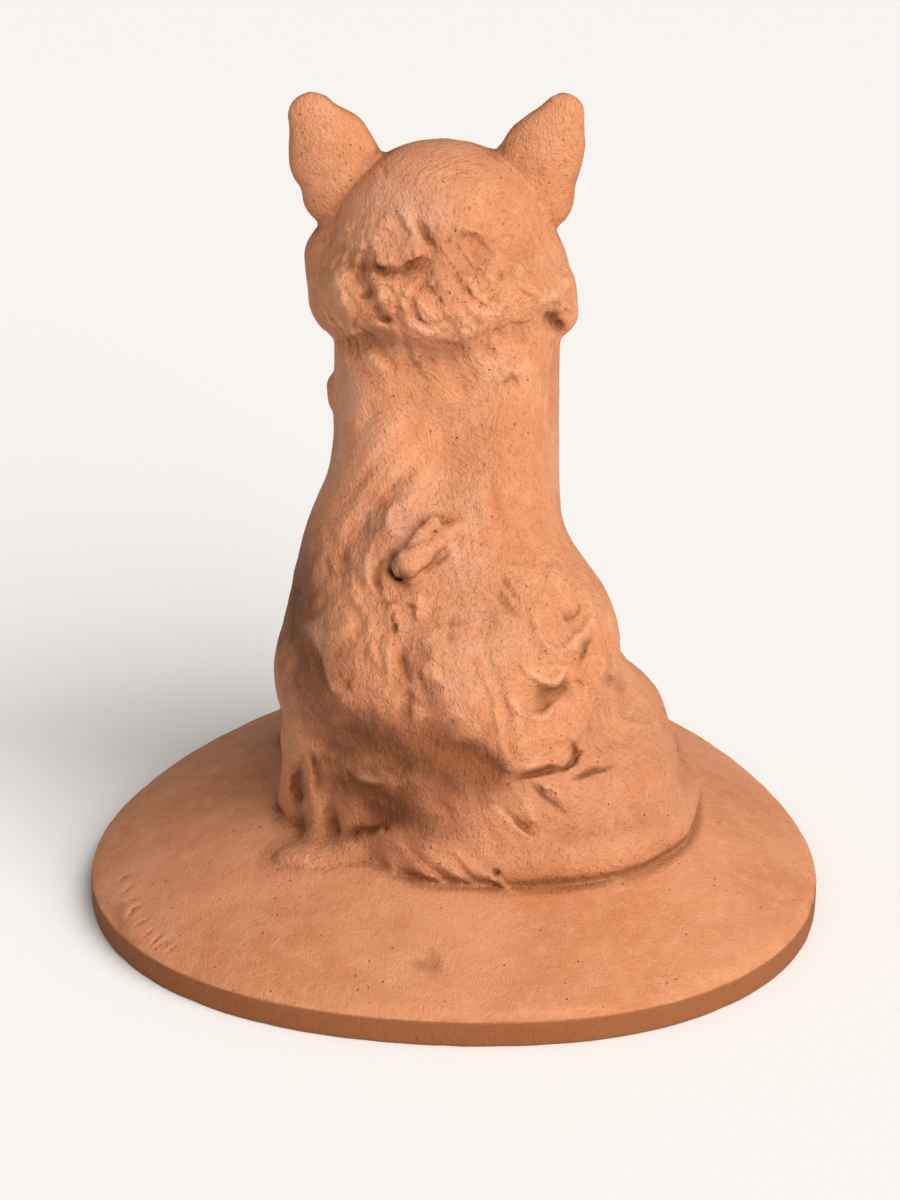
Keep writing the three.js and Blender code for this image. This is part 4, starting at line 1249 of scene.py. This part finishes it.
def fired_terracotta(colours):
    """Low-fired red earthenware, modelled by hand and left unglazed.

    The iron in it gives an orange brown that is paler where the surface was touched or has a
    lime bloom, and deeper where dust and slip lie in the hollows. Painted light is laid into the colour
    as well: painted shade in the hollows, creases and pinholes, under the back and the ruff and on the
    shaded left flank and rim, and a painted highlight on rubbed ridges. It is matt with a faint satin on
    pressed clay. Its grain is 1 mm grit, with pinholes of the same width."""
    material, tree = new_material("Fired terracotta")
    values = {
        name: add(tree, "ShaderNodeAttribute", output="Fac", attribute_name=name)
        for name in ("hollow", "ridge", "combed", "bloom", "on_base", "on_cat", "dust")
    }

    # Coordinates: the object's own, along the hair, and turned another way in each 17 mm cell,
    # so that short strokes of a tool lie side by side in a cell
    place = add(tree, "ShaderNodeTexCoord", output="Object")
    hair = add(tree, "ShaderNodeAttribute", output="Vector", attribute_name="hair")
    hair = add(tree, "ShaderNodeMapping", {"Vector": hair, "Scale": (1, 1, 0.22)})
    turn = add(tree, "ShaderNodeTexVoronoi", {"Vector": place, "Scale": per_metre(17)}, "Color")
    turn = add(tree, "ShaderNodeVectorMath", {0: turn, "Scale": 6.3}, operation="SCALE")
    stroke = add(tree, "ShaderNodeVectorRotate", {"Vector": place, "Rotation": turn},
                 rotation_type="EULER_XYZ")
    stroke = add(tree, "ShaderNodeMapping", {"Vector": stroke, "Scale": (1, 0.13, 1)})
    coordinates = {"place": place, "hair": hair, "stroke": stroke}

    # Colour: the tones, then the slip and painted shade of the hollows, the rubbed ridges with a painted
    # highlight and the pinholes with painted shade
    colour = colours["body"]
    for name, size, detail, roughness, where, low, high, share, held_to in TONES:
        pattern = add(tree, "ShaderNodeTexNoise", {
            "Vector": coordinates[where], "Scale": per_metre(size), "Detail": detail,
            "Roughness": roughness})
        pattern = add(tree, "ShaderNodeMapRange", {
            "Value": pattern, "From Min": low, "From Max": high, "To Max": share},
            interpolation_type="SMOOTHSTEP")
        pattern = add(tree, "ShaderNodeMath", {0: pattern, 1: values.get(held_to, 1.0)},
                      operation="MULTIPLY")
        colour = add(tree, "ShaderNodeMix", {0: pattern, 6: colour, 7: colours[name]}, 2,
                     data_type="RGBA")
    # Slip and painted shade in the hollows: the grime colour mixed in by hollowness
    uneven = add(tree, "ShaderNodeTexNoise", {"Vector": place, "Scale": per_metre(5), "Detail": 4})
    hollow_shade = add(tree, "ShaderNodeMath", {0: uneven, 1: 0.3, 2: values["hollow"]},
                  operation="MULTIPLY_ADD")
    hollow_shade = add(tree, "ShaderNodeMapRange", {
        "Value": hollow_shade, "From Min": 0.3, "From Max": 1.0, "To Max": 0.85},
        interpolation_type="SMOOTHSTEP")
    colour = add(tree, "ShaderNodeMix", {0: hollow_shade, 6: colour, 7: colours["grime"]}, 2,
                 data_type="RGBA")
    # Rubbed ridges: wear with a painted highlight
    rubbed_highlight = add(tree, "ShaderNodeMapRange", {
        "Value": values["ridge"], "From Min": 0.05, "From Max": 0.6, "To Max": 0.3},
        interpolation_type="SMOOTHSTEP")
    colour = add(tree, "ShaderNodeMix", {0: rubbed_highlight, 6: colour, 7: colours["worn"]}, 2,
                 data_type="RGBA")
    cells = {"Vector": place, "Scale": per_metre(5.5)}
    pinhole = add(tree, "ShaderNodeMapRange", {
        "Value": add(tree, "ShaderNodeTexVoronoi", cells), "From Min": 0.12, "From Max": 0.07},
        interpolation_type="SMOOTHSTEP")
    chosen = add(tree, "ShaderNodeSeparateColor", {0: add(tree, "ShaderNodeTexVoronoi", cells, 1)})
    chosen = add(tree, "ShaderNodeMath", {0: chosen, 1: 0.63}, operation="GREATER_THAN")
    pinhole = add(tree, "ShaderNodeMath", {0: pinhole, 1: chosen}, operation="MULTIPLY")
    # The darker colour inside the pinholes is painted shade
    pit_shade = add(tree, "ShaderNodeMath", {0: pinhole, 1: 0.6}, operation="MULTIPLY")
    colour = add(tree, "ShaderNodeMix", {0: pit_shade, 6: colour, 7: colours["pinhole"]}, 2,
                 data_type="RGBA")

    # Gloss: pressed ridges are a little smoother than the grainy hollows
    gloss = add(tree, "ShaderNodeTexNoise", {"Vector": place, "Scale": per_metre(16), "Detail": 4})
    gloss = add(tree, "ShaderNodeMapRange", {
        "Value": gloss, "From Min": 0.3, "From Max": 0.7, "To Min": 0.6, "To Max": 0.76})
    gloss = add(tree, "ShaderNodeMath", {0: values["hollow"], 1: 0.15, 2: gloss},
                operation="MULTIPLY_ADD")

    # Relief in millimetres
    height = add(tree, "ShaderNodeMath", {0: pinhole, 1: -0.7}, operation="MULTIPLY")
    for size, detail, roughness, where, low, high, rise, held_to, least in RELIEF:
        pattern = add(tree, "ShaderNodeTexNoise", {
            "Vector": coordinates[where], "Scale": per_metre(size), "Detail": detail,
            "Roughness": roughness})
        pattern = add(tree, "ShaderNodeMapRange", {
            "Value": pattern, "From Min": low, "From Max": high, "To Max": rise})
        share = add(tree, "ShaderNodeMapRange", {"Value": values[held_to], "To Min": least})
        height = add(tree, "ShaderNodeMath", {0: pattern, 1: share, 2: height},
                     operation="MULTIPLY_ADD")
    bump = add(tree, "ShaderNodeBump", {"Height": height, "Distance": 0.001, "Strength": 1.0})

    shader = add(tree, "ShaderNodeBsdfPrincipled", {
        "Base Color": colour, "Roughness": gloss, "IOR": 1.45, "Specular IOR Level": 0.42,
        "Normal": bump})
    add(tree, "ShaderNodeOutputMaterial", {"Surface": shader})
    return material


def painted_floor(colour):
    """Matt emulsion paint on a smooth board: an even white with a faint roller texture."""
    material, tree = new_material("Matt white paint")
    place = add(tree, "ShaderNodeTexCoord", output="Object")
    nap = add(tree, "ShaderNodeTexNoise", {"Vector": place, "Scale": per_metre(3), "Detail": 2.0})
    bump = add(tree, "ShaderNodeBump", {"Height": nap, "Distance": 0.0001})
    shader = add(tree, "ShaderNodeBsdfPrincipled", {
        "Base Color": colour, "Roughness": 0.85, "Specular IOR Level": 0.2, "Normal": bump})
    add(tree, "ShaderNodeOutputMaterial", {"Surface": shader})
    return material


# Settings that a user would change

def hex_property(name, description, default):
    """A colour property, whose default is given as sRGB hex."""
    return bpy.props.FloatVectorProperty(
        name=name, description=description, default=linear(default), subtype="COLOR", size=4,
        min=0, max=1)


class ClaySettings(bpy.types.PropertyGroup):
    """The colours of the fired clay."""

    body: hex_property("Body", "Main colour of the fired clay", "#d58f65")
    body_deep: hex_property("Deep body", "Redder clay in broad clouds", "#c98055")
    body_pale: hex_property("Pale body", "Paler mottling", "#e0a077")
    bloom: hex_property("Bloom", "Pinkish bloom on the neck and back", "#dcb098")
    # Grime: slip and painted shade in the hollows
    grime: hex_property("Grime", "Slip in the hollows", "#8d5229")
    # Dust: brown dust and painted shade on the shaded flank, the rim and under the back
    dust: hex_property("Dust", "Brown dust on the flank, the rim and under the back", "#683616")
    # Worn: rubbed wear and a painted highlight on ridges and edges
    worn: hex_property("Worn", "Rubbed ridges and edges", "#f0b68f")
    # Pinhole: painted shade inside the pits
    pinhole: hex_property("Pinhole", "Inside of the pinholes", "#8a4526")


class StageSettings(bpy.types.PropertyGroup):
    """The floor, the light and the camera."""

    floor: hex_property("Floor", "Colour of the painted floor", "#fdfdfd")
    floor_size: bpy.props.FloatProperty(
        name="Floor size", description="Width of the square floor", default=14.0, min=2.0,
        unit="LENGTH")
    key: bpy.props.FloatProperty(
        name="Key light", description="Strength of the large soft lamp at the right", default=3.8,
        min=0.0, max=20.0)
    sky: bpy.props.FloatProperty(
        name="Room light", description="Strength of the even light from all round", default=0.34,
        min=0.0, max=2.0)


class TERRACOTTA_OT_cat_figurine(bpy.types.Operator):
    """Models the cat and its base as one closed piece of terracotta"""

    bl_idname = "terracotta.cat_figurine"
    bl_label = "Cat Figurine"

    def execute(self, context):
        settings = context.scene.terracotta_clay
        piece, base = figure_object(), base_object()
        applied(piece, "BOOLEAN", operation="UNION", object=base, solver="MANIFOLD")
        bpy.data.objects.remove(base)
        piece.name = piece.data.name = "terracotta_cat"
        piece.data.shade_smooth()
        colour_attributes(piece)
        colours = {name: tuple(getattr(settings, name)) for name in settings.__annotations__}
        piece.data.materials.clear()
        piece.data.materials.append(fired_terracotta(colours))
        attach(piece, "root")
        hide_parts(NODE)
        return {"FINISHED"}


KEY_DIRECTION = (-0.52, 0.66, 0.54)
KEY_SPREAD = 54


def soft_lamp(name, direction, spread, power, colour):
    """A distant lamp that shines from a direction, from a disc that is spread degrees wide."""
    light = bpy.data.lights.new(name, "SUN")
    light.angle = math.radians(spread)
    light.energy = power
    light.color = linear(colour)[:3]
    obj = bpy.data.objects.new(name, light)
    pitch = math.atan2(math.hypot(*direction[:2]), direction[2])
    obj.rotation_euler = (pitch, 0, math.atan2(direction[1], direction[0]) + math.pi / 2)
    bpy.context.scene.collection.objects.link(obj)


class TERRACOTTA_OT_stage(bpy.types.Operator):
    """Sets a pale floor, soft studio light and the camera of the photograph"""

    bl_idname = "terracotta.stage"
    bl_label = "Stage"

    def execute(self, context):
        scene, settings = context.scene, context.scene.terracotta_stage
        half = settings.floor_size / 2
        corners = [(-half, -half, 0), (half, -half, 0), (half, half, 0), (-half, half, 0)]
        floor = mesh_object("floor", corners, [(0, 1, 2, 3)])
        floor.data.materials.append(painted_floor(tuple(settings.floor)))

        soft_lamp("Key", KEY_DIRECTION, KEY_SPREAD, settings.key, "#fffcf8")

        world = bpy.data.worlds.new("Studio")
        world.use_nodes = True
        shader = world.node_tree.nodes["Background"]
        shader.inputs["Color"].default_value = linear("#f7f3ee")
        shader.inputs["Strength"].default_value = settings.sky
        scene.world = world
        scene.view_settings.view_transform = "Standard"

        camera = bpy.data.objects.new("Camera", bpy.data.cameras.new("Camera"))
        camera.data.lens = CAMERA_LENS
        camera.location = [value / 1000 for value in CAMERA_PLACE]
        camera.rotation_euler = (math.radians(90 - CAMERA_TILT), 0, math.pi)
        scene.collection.objects.link(camera)
        scene.camera = camera
        return {"FINISHED"}


class TERRACOTTA_PT_panel(bpy.types.Panel):
    """Lists the piece, the stage and their settings"""

    bl_label = "Terracotta Cat"
    bl_idname = "TERRACOTTA_PT_panel"
    bl_space_type = "VIEW_3D"
    bl_region_type = "UI"
    bl_category = "Terracotta Cat"

    def draw(self, context):
        layout = self.layout
        scene = context.scene
        for operator, settings in (("terracotta.cat_figurine", scene.terracotta_clay),
                                   ("terracotta.stage", scene.terracotta_stage)):
            layout.operator(operator)
            box = layout.box()
            for name in settings.__annotations__:
                box.prop(settings, name)


CLASSES = (
    ClaySettings, StageSettings, TERRACOTTA_OT_cat_figurine, TERRACOTTA_OT_stage,
    TERRACOTTA_PT_panel,
)


def register():
    for cls in CLASSES:
        bpy.utils.register_class(cls)
    bpy.types.Scene.terracotta_clay = bpy.props.PointerProperty(type=ClaySettings)
    bpy.types.Scene.terracotta_stage = bpy.props.PointerProperty(type=StageSettings)


def unregister():
    del bpy.types.Scene.terracotta_stage
    del bpy.types.Scene.terracotta_clay
    for cls in reversed(CLASSES):
        bpy.utils.unregister_class(cls)


def main():
    register()
    bpy.ops.terracotta.cat_figurine()
    bpy.ops.terracotta.stage()


if __name__ == "__main__":
    main()
